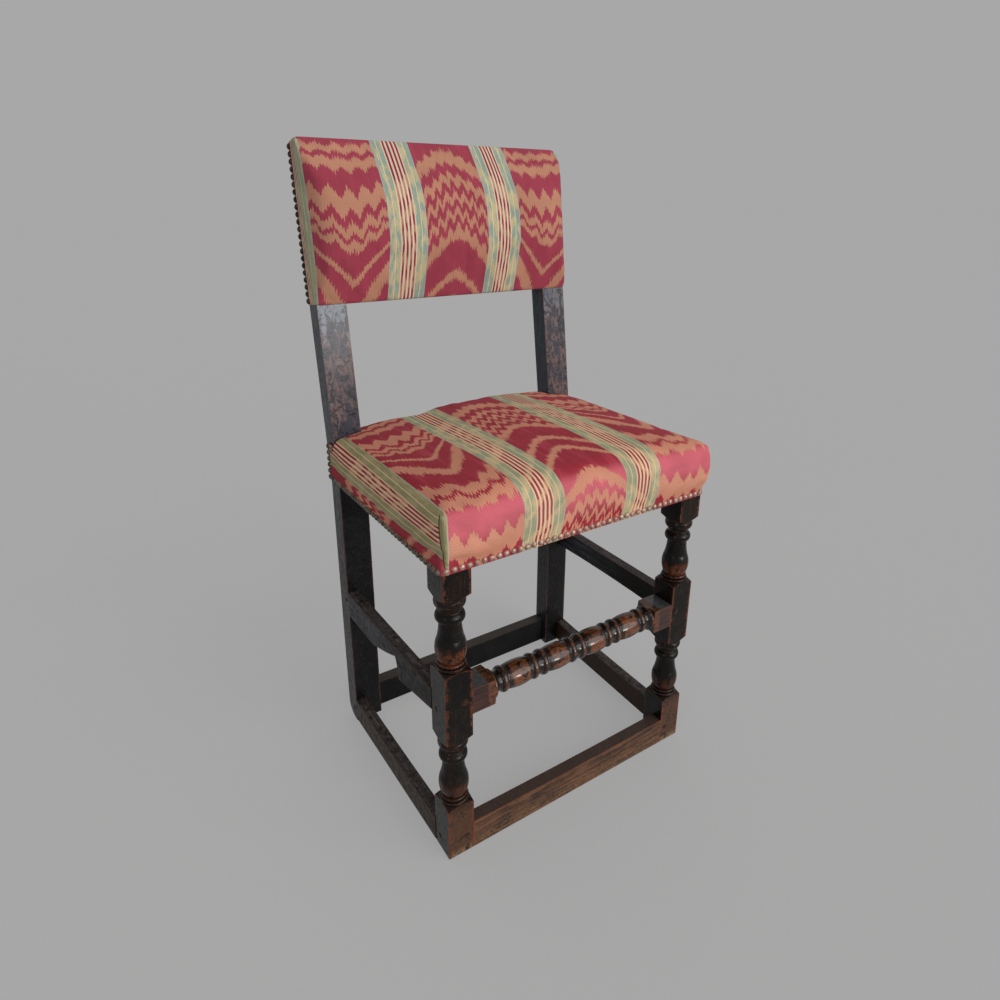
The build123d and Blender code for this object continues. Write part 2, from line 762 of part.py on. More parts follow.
# ================================================================ upholstered back
def back_plan(grow, start, end):
    """Plan of the back, in front of the uprights' rear face, rolled off at both sides."""
    half, front = back_half + grow, -back_bulge - grow - cloth_gap
    edge, inner = (half, -back_side_bulge - grow), (half - back_side_roll, front)
    swell = back_roll_swell + grow - cover_out
    along = Vector(edge[0] - inner[0], edge[1] - inner[1])
    out = Vector(along.Y, -along.X).normalized() * swell
    middle = ((edge[0] + inner[0]) / 2 + out.X, (edge[1] + inner[1]) / 2 + out.Y)
    mirrored = [(-x, y) for x, y in (edge, middle, inner)]
    rear = back_leg_depth
    lines = [Line((-half, rear), (half, rear)), Line((half, rear), edge), ThreePointArc(edge, middle, inner),
             Line(inner, mirrored[2]), ThreePointArc(mirrored[2], mirrored[1], mirrored[0]),
             Line(mirrored[0], (-half, rear))]
    return Location((0, 0, start)) * extrude(outline_face(lines), amount=end - start, dir=(0, 0, 1))


def back_form(grow):
    """The back's outer form in the lean of the uprights, out to their rear face."""
    x, rear = -back_half - grow, back_leg_depth
    start, end = panel_start - grow, panel_end + grow
    crest = panel_end + back_top_roll - (cover_out - grow)
    low = (x, -grow, start)
    bulge = (x, -back_bulge - grow, panel_start + back_bulge_height)
    top = (x, crest_setback, crest)
    over = (x, back_top_bend, (crest + end) / 2 + back_top_bend_rise)
    rear_top, rear_low = (x, rear, end), (x, rear, start)
    edges = [Line(rear_low, low), ThreePointArc(low, bulge, top), ThreePointArc(top, over, rear_top),
             Line(rear_top, rear_low)]
    plan = back_plan(grow, start - beyond, crest + beyond)
    return side_sheet(edges, 2 * (back_half + grow)) & plan


def back_core(depth, half, start, end):
    """Room behind the given depth, right through to the rear."""
    return block(-half, half, depth, back_leg_depth + seat_bulge, start, end)


def back_cover():
    """The cloth over the front, sides, top and underside of the back."""
    rear_cut = Location((0, cloth_thickness, 0)) * back_form(cloth_gap)
    shell = back_form(cover_out) - (back_form(cloth_gap) + rear_cut)
    for side in SIDES.values():
        shell -= block(side * (back_leg_inner - cloth_gap), side * (back_half + cloth_gap),
                       -cloth_gap, back_leg_depth + cover_out, panel_start - cover_out - hem_drop,
                       panel_start)
    return lean() * largest(shell)


def back_stuffing():
    filling = back_form(0)
    front = back_cloth_rear - base_cloth_thickness - cloth_gap
    filling -= back_core(front, beyond, panel_start - cover_out, panel_end + cloth_gap)
    for side in SIDES.values():
        filling -= block(side * (back_leg_inner - cloth_gap), side * beyond, -cloth_gap,
                         back_leg_depth, panel_start - cover_out, panel_end + cloth_gap)
    return lean() * largest(filling)


def back_base_cloth():
    half = back_leg_inner - cloth_gap
    return lean() * block(-half, half, back_cloth_rear - base_cloth_thickness, back_cloth_rear,
                          panel_start, panel_end)


def back_outer_cover():
    front = back_leg_depth + cloth_gap
    return lean() * block(-back_half, back_half, front, front + cloth_thickness,
                          panel_start, panel_end)


def back_webs():
    return [lean() * block(x - web_width / 2, x + web_width / 2, back_web_front, back_rail_front,
                           panel_start + web_end_gap, panel_end - web_end_gap)
            for x in web_places(back_web_count)]


# ================================================================ nails and tacks
def nail_edges(head):
    """Half outline of a nail driven down from z = 0, with its dome or only its shank."""
    r, shank, tip = nail_head_radius, nail_shank_radius, -nail_shank_length
    shoulder = tip + nail_point_length
    if head:
        top = nail_head_height
        haunch = (r * math.sqrt(0.5), 0, top * math.sqrt(0.5))
        edges = [ThreePointArc((0, 0, top), haunch, (r, 0, 0)), Line((r, 0, 0), (shank, 0, 0))]
    else:
        top = cloth_thickness
        edges = [Line((0, 0, top), (shank, 0, top)), Line((shank, 0, top), (shank, 0, 0))]
    return edges + [Line((shank, 0, 0), (shank, 0, shoulder)), Line((shank, 0, shoulder), (0, 0, tip)),
                    Line((0, 0, tip), (0, 0, top))]


def nail(head=True):
    return revolve(outline_face(nail_edges(head)), Axis.Z, 360)


def tack():
    low = (Align.CENTER, Align.CENTER, Align.MIN)
    high = (Align.CENTER, Align.CENTER, Align.MAX)
    return (Cylinder(tack_head_radius, tack_head_height, align=low)
            + Cylinder(tack_shank_radius, tack_shank_length, align=high))


def front_nail_spots():
    reach = front_half - nail_edge
    return [Location((x, -cover_out, hem + nail_rise), (90, 0, 0))
            for x in spaced(-reach, reach, nail_pitch)]


def rear_nail_spots():
    reach = back_leg_inner - nail_edge
    return [Location((x, frame_back + cover_out, hem + nail_rise), (-90, 0, 0))
            for x in spaced(-reach, reach, nail_pitch)]


def side_spot(side, y, z):
    """The seat of a nail on the splayed side of the seat cover."""
    out = side_x(y) + cover_out
    return (Location((side * out, y, z), (0, 0, -side * math.degrees(splay)))
            * Location((0, 0, 0), (0, 90 * side, 0)))


def side_nail_spots(side):
    """Along the hem, up the rear edge of the wrap, and forwards along its top."""
    low = hem + nail_rise - side_nail_drop
    high = wrap_top - nail_edge
    rear, front = frame_back - nail_edge, upright_face(high) + nail_edge
    places = [(y, low) for y in spaced(nail_edge, rear, nail_pitch)]
    places += [(rear, z) for z in spaced(low, high, nail_pitch)[1:]]
    places += [(y, high) for y in spaced(rear, front, nail_pitch)[1:]]
    return [side_spot(side, y, z) for y, z in places]


def back_side_nail_spots(side):
    """Down the rear edge of the back cover, on the outer face of the upright."""
    x, depth = side * (back_half + cover_out), back_leg_depth - nail_edge
    return [lean() * Location((x, depth, up), (0, 90 * side, 0))
            for up in spaced(panel_start + nail_edge, panel_end - nail_edge, nail_pitch)]


def outer_back_nail_spots():
    """Along the upper and lower edges of the outside back."""
    reach = back_half - rear_nail_margin
    return [lean() * Location((x, back_leg_depth + cover_out, up), (-90, 0, 0))
            for up in (panel_start + nail_edge, panel_end - nail_edge)
            for x in spaced(-reach, reach, nail_pitch)]


def seat_tack_spots():
    across = even_places(tacks_per_end, web_width)
    spots = [(x + dx, y, seat_rail_top + web_thickness)
             for x in web_places(long_web_count)
             for y in (web_end_gap + tack_inset, frame_back - web_end_gap - tack_inset)
             for dx in across]
    spots += [(side * (cross_web_reach(y) - tack_inset), y + dy, seat_rail_top)
              for y in cross_web_places() for side in SIDES.values() for dy in across]
    return [Location(spot) for spot in spots]


def back_tack_spots():
    inset = web_end_gap + tack_inset
    return [lean() * Location((x + dx, back_web_front, up), (90, 0, 0))
            for x in web_places(back_web_count)
            for up in (panel_start + inset, panel_end - inset)
            for dx in even_places(tacks_per_end, web_width)]


def driven(fastener, spots):
    return [spot * fastener for spot in spots]


# ================================================================ the chair
def frame_members():
    """Rails and stretchers, whose tenons make the mortises in the legs."""
    members = {
        "seat_rail_front": seat_rail_front(),
        "seat_rail_back": seat_rail_back(),
        "turned_front_stretcher": turned_front_stretcher(),
        "front_low_stretcher": front_low_stretcher(),
        "side_upper_stretcher_left": upper_stretcher_left(),
        "side_upper_stretcher_right": upper_stretcher_right(),
        "back_low_stretcher": back_low_stretcher(),
        "back_lower_rail": back_rail(panel_start),
        "back_top_rail": back_rail(panel_end - back_rail_height),
    }
    for name, side in SIDES.items():
        members[f"side_low_stretcher_{name}"] = side_low_stretcher(side)
        members[f"seat_rail_{name}"] = seat_rail_side(side)
    return members


def build_chair():
    nails = {
        "seat_nails_front": front_nail_spots(),
        "seat_nails_left": side_nail_spots(LEFT),
        "seat_nails_right": side_nail_spots(RIGHT),
        "seat_nails_back": rear_nail_spots(),
        "back_nails_left": back_side_nail_spots(LEFT),
        "back_nails_right": back_side_nail_spots(RIGHT),
        "back_nails_rear": outer_back_nail_spots(),
    }
    tacks = {"seat_web_tacks": seat_tack_spots(), "back_web_tacks": back_tack_spots()}
    pegs = {"front_leg_pegs": front_leg_pegs(), "back_leg_pegs": back_leg_pegs()}
    nail_holes = [hole for spots in nails.values() for hole in driven(nail(head=False), spots)]
    tack_holes = [hole for spots in tacks.values() for hole in driven(tack(), spots)]
    peg_holes = [pin for pins in pegs.values() for pin in pins]

    members = frame_members()
    legs = {}
    for name, side in SIDES.items():
        legs[f"front_leg_{name}"] = cut(front_leg(side), members.values())
        legs[f"back_leg_{name}"] = cut(back_leg(side), members.values())

    chair = {name: cut(piece, peg_holes + tack_holes + nail_holes)
             for name, piece in {**legs, **members}.items()}
    chair["seat_webs_long"] = group([cut(web, tack_holes) for web in seat_long_webs()])
    chair["seat_webs_cross"] = group([cut(web, tack_holes) for web in seat_cross_webs()])
    chair["back_webs"] = group([cut(web, tack_holes) for web in back_webs()])
    chair["seat_base_cloth"] = seat_base_cloth()
    chair["seat_stuffing"] = seat_stuffing()
    chair["seat_cover"] = cut(seat_cover(), nail_holes)
    chair["back_base_cloth"] = back_base_cloth()
    chair["back_stuffing"] = back_stuffing()
    chair["back_cover"] = cut(back_cover(), nail_holes)
    chair["back_outer_cover"] = cut(back_outer_cover(), nail_holes)
    for name, pins in pegs.items():
        chair[name] = group(pins)
    for name, spots in tacks.items():
        chair[name] = group(driven(tack(), spots))
    for name, spots in nails.items():
        chair[name] = group(driven(nail(), spots))
    return chair


def write(chair):
    """Each node as its own STEP file, about the middle of the chair's footprint."""
    boxes = [piece.bounding_box() for piece in chair.values()]
    middle_y = (min(box.min.Y for box in boxes) + max(box.max.Y for box in boxes)) / 2
    os.makedirs("parts", exist_ok=True)
    for name, piece in chair.items():
        export_step(Location((0, -middle_y, 0)) * piece, f"parts/{name}.step")


write(build_chair())
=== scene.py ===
import math

import bmesh
import bpy
import numpy as np
from mathutils import Euler, Matrix, Vector


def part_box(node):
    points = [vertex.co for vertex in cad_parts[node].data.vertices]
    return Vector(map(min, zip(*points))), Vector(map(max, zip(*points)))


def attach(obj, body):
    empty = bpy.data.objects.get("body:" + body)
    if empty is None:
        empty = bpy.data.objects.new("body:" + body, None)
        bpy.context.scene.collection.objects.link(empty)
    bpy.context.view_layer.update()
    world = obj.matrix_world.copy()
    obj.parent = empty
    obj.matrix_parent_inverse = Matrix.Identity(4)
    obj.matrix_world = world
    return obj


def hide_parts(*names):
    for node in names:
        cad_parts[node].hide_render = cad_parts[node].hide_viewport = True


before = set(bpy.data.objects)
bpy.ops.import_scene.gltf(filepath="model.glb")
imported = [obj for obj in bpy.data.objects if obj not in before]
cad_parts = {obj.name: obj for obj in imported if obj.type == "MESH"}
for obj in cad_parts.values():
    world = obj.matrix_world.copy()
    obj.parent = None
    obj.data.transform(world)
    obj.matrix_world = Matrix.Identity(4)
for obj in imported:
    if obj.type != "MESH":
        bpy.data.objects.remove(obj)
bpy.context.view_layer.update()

# Lengths are in millimetres, with z = 0 on the floor and y = 0 at the front legs' front face,
# as the chair was drawn. place() turns them into the row frame's metres.
MM = 0.001
LEG_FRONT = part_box("front_leg_left")[0].y
SIDES = {"left": -1, "right": 1}


def place(points):
    """Drawn millimetres to row frame metres."""
    return np.asarray(points, float) * MM + np.array([0, LEG_FRONT, 0])


def smoothstep(low, high, x):
    t = np.clip((np.asarray(x, float) - low) / (high - low), 0, 1)
    return t * t * (3 - 2 * t)


# ================================================================ camera, floor and light
CAMERA_PLACE = (-535.23, -627.84, 857.81)
CAMERA_TURN = 33.94                  # degrees right of straight back
CAMERA_DIP = 18.9
CAMERA_ROLL = 0.69
IMAGE_PIXELS = 1000
FOCAL_PIXELS = 691.99
AXIS_PIXEL = (517.47, 430.9)         # where the lens axis meets the image
SENSOR = 36.0
BACKDROP = (168, 168, 168)
FLOOR_GLOW = 0.72                    # share of the floor's brightness that no shadow takes away
FLOOR_PAPER = (108, 108, 108)
FLOOR_REACH = 80.0                   # metres


def make_camera():
    data = bpy.data.cameras.new("camera")
    camera = bpy.data.objects.new("camera", data)
    bpy.context.scene.collection.objects.link(camera)
    data.sensor_width = SENSOR
    data.sensor_fit = "HORIZONTAL"
    data.lens = SENSOR * FOCAL_PIXELS / IMAGE_PIXELS
    data.shift_x = 0.5 - AXIS_PIXEL[0] / IMAGE_PIXELS
    data.shift_y = AXIS_PIXEL[1] / IMAGE_PIXELS - 0.5
    data.clip_start = 0.05
    data.clip_end = 100
    tilt = Euler((math.radians(90 - CAMERA_DIP), 0, -math.radians(CAMERA_TURN)), "XYZ").to_matrix()
    roll = Matrix.Rotation(math.radians(CAMERA_ROLL), 3, "Z")
    spot = Matrix.Translation(Vector(place(CAMERA_PLACE)))
    camera.matrix_world = spot @ (tilt @ roll).to_4x4()
    bpy.context.scene.camera = camera


def make_light(name, source, spread, strength, colour):
    """A soft light that comes from the direction of source, spread over that many degrees of the sky."""
    data = bpy.data.lights.new(name, "SUN")
    data.angle = math.radians(spread)
    data.energy = strength
    data.color = colour
    light = bpy.data.objects.new(name, data)
    light.rotation_euler = Vector(source).to_track_quat("Z", "Y").to_euler()
    bpy.context.scene.collection.objects.link(light)


def make_lights():
    make_light("key_light", (1.0, -2.2, 0.9), 60, 1.95, (1.0, 0.98, 0.96))
    make_light("glint_light", (0.30, -0.95, 0.12), 11, 0.62, (1.0, 0.98, 0.96))
    make_light("left_light", (-2.2, -1.0, 0.8), 14, 0.20, (0.90, 0.95, 1.0))
    make_light("top_light", (0.2, 0.9, 2.4), 50, 0.25, (1.0, 1.0, 1.0))
    world = bpy.data.worlds.new("world")
    world.use_nodes = True
    sky = world.node_tree.nodes["Background"].inputs
    sky["Color"].default_value = linear(BACKDROP)
    sky["Strength"].default_value = 1.0
    bpy.context.scene.world = world


def make_floor():
    """A wide plain floor, lit from below like the backdrop behind it, so shadows are faint."""
    mesh = bpy.data.meshes.new("studio_floor")
    points = [(FLOOR_REACH * x, FLOOR_REACH * y, 0) for x, y in ((-1, -1), (1, -1), (1, 1), (-1, 1))]
    mesh.from_pydata(points, [], [(0, 1, 2, 3)])
    floor = bpy.data.objects.new("studio_floor", mesh)
    bpy.context.scene.collection.objects.link(floor)
    graph = Graph("studio_paper")
    tone = graph.noise(graph.spot(), 0.06, 3.0)
    pale, deep = (linear(level + step for level in FLOOR_PAPER) for step in (1, -1))
    mesh.materials.append(graph.shaded(
        Base_Color=tone.mix(pale, deep), Roughness=1.0, Specular_IOR_Level=0.0,
        Emission_Color=linear(BACKDROP), Emission_Strength=FLOOR_GLOW))


# ================================================================ shader graphs
def linear(colour):
    """An sRGB colour, 0 to 255, as linear RGBA."""
    parts = [c / 255 for c in colour]
    return [c / 12.92 if c <= 0.04045 else ((c + 0.055) / 1.055) ** 2.4 for c in parts] + [1.0]


class Wire:
    """A value in a node tree. Wires and numbers add, subtract, multiply, divide and compare."""

    def __init__(self, graph, socket):
        self.graph, self.socket = graph, socket

    def math(self, operation, *others):
        return self.graph.node("ShaderNodeMath", dict(enumerate((self, *others))), operation=operation)

    def __add__(self, other):
        return self.math("ADD", other)

    def __sub__(self, other):
        return self.math("SUBTRACT", other)

    def __rsub__(self, other):
        return self.graph.node("ShaderNodeMath", {0: other, 1: self}, operation="SUBTRACT")

    def __mul__(self, other):
        return self.math("MULTIPLY", other)

    def __truediv__(self, other):
        return self.math("DIVIDE", other)

    def __lt__(self, other):
        return self.math("LESS_THAN", other)

    def __gt__(self, other):
        return self.math("GREATER_THAN", other)

    def __abs__(self):
        return self.math("ABSOLUTE")

    def step(self, low, high, first=0.0, last=1.0):
        """From low to high the value becomes first to last, smoothly and held at the ends."""
        inputs = {"Value": self, "From Min": low, "From Max": high, "To Min": first, "To Max": last}
        return self.graph.node("ShaderNodeMapRange", inputs, interpolation_type="SMOOTHSTEP")

    def ramp(self, stops, sharp=False):
        made = self.graph.make("ShaderNodeValToRGB", {0: self})
        made.color_ramp.interpolation = "CONSTANT" if sharp else "LINEAR"
        band = made.color_ramp.elements
        while len(band) < len(stops):
            band.new(0.5)
        for element, (at, level) in zip(band, stops):
            element.position = at
            element.color = [level, level, level, 1]
        return Wire(self.graph, made.outputs[0])

    def curve(self, span, points):
        """A function of the value through points (at, height), held at its ends. span is its range."""
        low, high = span
        peak = max(height for _, height in points)
        stops = [((at - low) / (high - low), height / peak) for at, height in points]
        return ((self - low) / (high - low)).ramp(stops) * peak

    def mix(self, a, b):
        """The colour a where the value is 0, b where it is 1."""
        return self.graph.node("ShaderNodeMix", {0: self, 6: a, 7: b}, 2, data_type="RGBA")


class Graph:
    """A material's node tree."""

    def __init__(self, name):
        self.material = bpy.data.materials.new(name)
        self.material.use_nodes = True
        self.tree = self.material.node_tree

    def put(self, socket, value):
        if isinstance(value, Wire):
            self.tree.links.new(value.socket, socket)
        else:
            socket.default_value = value

    def make(self, kind, inputs=(), **settings):
        made = self.tree.nodes.new(kind)
        for name, value in settings.items():
            setattr(made, name, value)
        for key, value in dict(inputs).items():
            self.put(made.inputs[key], value)
        return made

    def node(self, kind, inputs=(), output=0, **settings):
        return Wire(self, self.make(kind, inputs, **settings).outputs[output])

    def split(self, vector):
        return [Wire(self, socket) for socket in self.make("ShaderNodeSeparateXYZ", {0: vector}).outputs]

    def vector(self, *parts):
        return self.node("ShaderNodeCombineXYZ", dict(zip("XYZ", parts)))

    def vector_math(self, operation, a, b, output=0):
        return self.node("ShaderNodeVectorMath", {0: a, 1: b}, output, operation=operation)

    def spot(self):
        """The point on the piece, in the row frame's millimetres."""
        metres = self.node("ShaderNodeTexCoord", output="Object")
        return self.vector_math("MULTIPLY", metres, (1 / MM,) * 3)

    def cloth(self):
        """Across and along the flat cloth, in millimetres."""
        return self.split(self.node("ShaderNodeUVMap", uv_map="cloth_mm"))[:2]

    def noise(self, vector, scale, detail=2.0, rough=0.5, distort=0.0):
        inputs = {"Vector": vector, "Scale": scale, "Detail": detail, "Roughness": rough,
                  "Distortion": distort}
        return self.node("ShaderNodeTexNoise", inputs, "Fac")

    def bump(self, height, distance, strength):
        return self.node("ShaderNodeBump", {"Height": height, "Distance": distance, "Strength": strength})

    def shaded(self, **sockets):
        """The material, with its Principled shader's sockets set. Socket names have _ for a space."""
        for name, value in sockets.items():
            self.put(self.tree.nodes["Principled BSDF"].inputs[name.replace("_", " ")], value)
        return self.material


# ================================================================ flame-stripe cloth
# On the flat cloth u runs across and v along, in millimetres. Flame columns alternate with bands
# of lines. The flames climb to a peak in every other column and fall to a point in the others.
FLAME_SPAN = (0.0, 450.0)
BAND_HALF = 30.0                     # half the width of a band of lines
PALE_LINES = (12.3, 21.0)            # from a band's middle to the fine lines beside its ribs
THREADS = (0.45, 0.60)               # thickness of the warp and weft threads
# where the colour changes along the middle of a column, from crimson to tan and back
POINT_EDGES = (9, 46, 84, 97, 104, 122, 158, 180, 218, 232, 270, 284, 293, 307, 322, 352, 388, 406,
               416, 429)
PEAK_EDGES = (12, 22, 36, 47, 61, 77, 91, 112, 164, 179, 206, 220, 268, 285, 300, 311, 325, 337, 352, 368,
              388, 412)
# how steeply the flames leave the middle of a column, and how far they zigzag
POINT_SLOPES = ((0, 0.2), (42, 0.1), (68, 0.3), (99, 0.6), (202, 1.6), (235, 1.1), (259, 0.6),
                (308, 0.3), (340, 0.15), (400, 0.05))
PEAK_SLOPES = ((0, 1.0), (62, 0.8), (90, 0.7), (120, 1.0), (158, 1.3), (198, 1.35), (258, 1.2),
               (313, 0.9), (342, 0.8), (385, 0.85))
POINT_ZIGZAG = ((0, 9), (55, 9), (70, 4), (95, 4), (125, 7), (160, 1), (255, 1), (275, 7), (320, 10),
                (360, 10), (385, 4))
PEAK_ZIGZAG = ((0, 10), (60, 9), (85, 4), (110, 1), (262, 1), (285, 7), (350, 8), (385, 5), (420, 5))
POINT_PERIOD = 11.5                  # half a zigzag
PEAK_PERIOD = 7.5
PEAK_ROUND = 20.0                    # roundness of the peaks
STRAND = 3.8                         # width of the bundles of thread that were dyed together
SLIP_BASE = 12.0
BACK_SLIP = ((-262, -11), (-228, -11), (-180, -2), (-112, 0), (112, 0), (180, 0), (232, 11))
SEAT_SLIP = ((-300, 5), (-150, 5), (-112, 0), (112, 0), (150, 8), (262, 8))
SEAT_LEAN = 5.0                      # how far the stripes lean over on the way down the front
SEAT_COLOURS = {
    "crimson": (155, 42, 56), "rose": (204, 90, 107), "tan": (200, 134, 108), "sage": (144, 152, 122),
    "olive": (146, 138, 98), "straw": (188, 170, 130), "cream": (218, 192, 156), "maroon": (152, 40, 58),
    "peach": (204, 144, 112), "blue": (166, 178, 158)}
BACK_COLOURS = {
    "crimson": (150, 58, 74), "rose": (166, 76, 92), "tan": (178, 126, 102), "sage": (138, 154, 140),
    "olive": (148, 152, 124), "straw": (184, 172, 134), "cream": (208, 192, 164), "maroon": (138, 46, 66),
    "peach": (184, 138, 114), "blue": (150, 172, 176)}
LAP_TOP = 8.0                        # how far the front is lapped round a corner of the seat
LAP_HEM = 2.5


class FlameCloth:
    """The shader of one cut of the cloth. pitch is from column to column. The shifts say how far the
    flames of either kind of column are moved along the cloth, and slip how far it lies off across."""

    def __init__(self, name, colours, pitch, point_shift, peak_shift, slip, corner=None):
        self.graph = Graph(name)
        self.colours = colours
        across, self.v = self.graph.cloth()
        lifted = [(at, amount + SLIP_BASE) for at, amount in slip]
        off = across.curve((slip[0][0], slip[-1][0]), lifted)
        if corner:
            lean = abs(across).step(190, 160, 0.0, SEAT_LEAN)
            off = off + lean * self.v.step(105, 15)
        self.u = across - off + SLIP_BASE
        middle = (self.u / (2 * pitch)).math("ROUND") * (2 * pitch)
        self.from_peak = abs(self.u - middle)
        self.from_point = pitch - self.from_peak
        self.lines = abs(self.from_peak - pitch / 2)
        peaks = self.peaks(peak_shift)
        flame = (self.from_peak > pitch / 2).mix(peaks, self.points(point_shift))
        dyed = (self.lines < BAND_HALF).mix(self.flame_colour(flame, point_shift), self.band_colour(peaks))
        along = self.v + point_shift
        # The front roll is paled a little towards cream: partly wear, partly painted sheen where it faces
        # the light.
        faded_and_sheen = along.step(20, 40) * along.step(104, 70)
        self.colour = (faded_and_sheen * 0.07).mix(dyed, linear((236, 204, 190)))
        if corner:
            self.lap(abs(across), *corner)
        self.finish()

    def lap(self, out, reach, run):
        """The front's pale edge is lapped round the corners onto the sides, where it ends in a seam."""
        down = out - reach
        past = self.v - run - down.step(0.0, 75.0, LAP_TOP, LAP_HEM)
        side = down > 0.2
        front = (down > -2.0) * (self.v < run - 4.0)
        pale = down.step(-3.0, 5.0).mix(linear((184, 190, 160)), self.tint("olive"))
        self.colour = (side * (past < 0.0)).math("MAXIMUM", front).mix(self.colour, pale)
        # A dark line on the side cloth along the seam: painted shade of the crease there.
        seam = abs(past).step(1.6, 0.4, 0.0, 0.85)
        self.colour = (seam * side).mix(self.colour, linear((34, 22, 18)))

    def streaks(self, across, along, reach, seed):
        """Noise drawn out along the threads, from -reach to reach."""
        spot = self.graph.vector(self.u / across, self.v / along, seed)
        return (self.graph.noise(spot, 1.0, 1.0) - 0.5) * (2.6 * reach)

    def strands(self, place, width, along, reach, point, seed):
        """Each strand of that width is shifted on its own, and ends in a point of that length."""
        across = place / width
        spot = self.graph.vector(across.math("FLOOR") * 1.37, self.v / along, seed)
        shift = (self.graph.noise(spot, 1.0, 1.0) - 0.5) * (2.6 * reach)
        return shift + across.math("PINGPONG", 0.5) * (2 * point)

    def stepped(self, off):
        """The same over the whole width of a strand, so that slopes go up in steps."""
        return ((off / STRAND).math("FLOOR") + 0.5) * STRAND

    def zigzag(self, off, half_period, heights, at):
        """From peak to valley and back along u, with a peak in the middle of the column."""
        wave = (off + self.streaks(18.0, 60.0, 3.0, 3.0)).math("PINGPONG", half_period)
        return (1.0 - wave * (2 / half_period)) * at.curve(FLAME_SPAN, heights)

    def edges(self, at, off, zigzag, edges, seed):
        """1 in the tan stripes and 0 between them."""
        at = at - zigzag
        at = at + self.strands(off, STRAND, 40.0, 4.0, 4.5, seed)
        at = at + self.strands(self.u, 1.7, 24.0, 4.5, 2.0, seed + 7)
        low, high = FLAME_SPAN
        stops = [((edge - low) / (high - low), 1 - number % 2) for number, edge in enumerate(edges)]
        return ((at - low) / (high - low)).ramp([(0.0, 0)] + stops, sharp=True)

    def points(self, shift):
        off, along = abs(self.from_point), self.v + shift
        near = along - off * 0.9
        at = along - self.stepped(off) * near.curve(FLAME_SPAN, POINT_SLOPES)
        return self.edges(at, off, self.zigzag(off, POINT_PERIOD, POINT_ZIGZAG, at), POINT_EDGES, 11.0)

    def peaks(self, shift):
        off, along = self.from_peak, self.v + shift
        steps = self.stepped(off)
        bend = (steps * steps + PEAK_ROUND ** 2).math("SQRT") - PEAK_ROUND
        near = along + off * 0.8
        at = along + bend * near.curve(FLAME_SPAN, PEAK_SLOPES)
        return self.edges(at, off, self.zigzag(off, PEAK_PERIOD, PEAK_ZIGZAG, at), PEAK_EDGES, 23.0)

    def tint(self, name):
        return linear(self.colours[name])

    def flame_colour(self, flame, shift):
        along = self.v + shift
        # The front roll is pinker: partly a change of dye, partly painted sheen where it faces the light.
        rosy_dye_and_sheen = along.step(30, 62) * along.step(96, 80) * 0.85
        red = rosy_dye_and_sheen.mix(self.tint("crimson"), self.tint("rose"))
        worn = self.streaks(9.0, 70.0, 1.0, 31.0).step(-0.2, 0.9)
        red = (worn * 0.25).mix(red, self.tint("rose"))
        return flame.mix(red, self.tint("tan"))

    def band_colour(self, flame):
        """The flames run on through the bands, where they turn sage to straw and maroon to peach."""
        cloudy = self.streaks(10.0, 30.0, 1.0, 41.0) + self.streaks(2.0, 14.0, 0.4, 43.0)
        outer = abs(self.u).step(196, 214)
        pale = (cloudy + flame * 0.5).step(-0.1, 0.5) * (1.0 - outer * 0.6)
        ground = pale.mix(outer.mix(self.tint("sage"), self.tint("olive")), self.tint("straw"))
        dyed = self.streaks(3.1, 30.0, 0.5, 47.0) + flame * 0.9
        dark = dyed.step(0.62, 0.82, 0.0, 0.85).mix(self.tint("maroon"), self.tint("peach"))
        ribs = self.lines.math("PINGPONG", 3.1).step(1.25, 1.7).mix(self.tint("cream"), dark)
        colour = (self.lines < 11.6).mix(ground, ribs)
        for at in PALE_LINES:
            colour = (abs(self.lines - at) < 0.6).mix(colour, self.tint("cream"))
        return (self.lines > BAND_HALF - 0.9).mix(colour, self.tint("blue"))

    def finish(self):
        """Thread mottling, a fine ribbed weave, and a soft sheen."""
        graph = self.graph
        flat = graph.vector(self.u, self.v)
        mottle = graph.noise(flat, 0.9, 3.0, 0.7)
        soft = graph.noise(flat, 0.02, 2.0, 0.5)
        shade = mottle.step(0.25, 0.75, 0.76, 1.2) + soft.step(0.3, 0.7, -0.06, 0.06)
        warp = (self.u * (math.pi / THREADS[0])).math("SINE")
        weft = (self.v * (math.pi / THREADS[1])).math("SINE")
        slub = (warp + weft) * 0.5 + self.streaks(5.0, 0.8, 1.2, 61.0)
        shaded = graph.node("ShaderNodeVectorMath", {0: self.colour, "Scale": shade}, operation="SCALE")
        self.material = graph.shaded(
            Base_Color=shaded, Roughness=mottle.step(0.2, 0.8, 0.78, 0.92),
            Normal=graph.bump(slub, 0.00012, 0.8), Specular_IOR_Level=0.15, Sheen_Weight=0.04,
            Sheen_Roughness=0.4)


# ================================================================ oak, metal and linen
LEG_AXIS = (195.8, 19.5)             # |x| and y of the front legs' turning axis
TURNING_MIDDLE = 243.5               # height halfway between the two turnings of a front leg
STRETCHER_AXIS = (18.75, 245.5)      # y and z
BOBBIN_STEP = 32.7                   # half the way from bobbin to bobbin
FRONT, LEFT, UP = (0, -1, 0), (-1, 0, 0), (0, 0, 1)


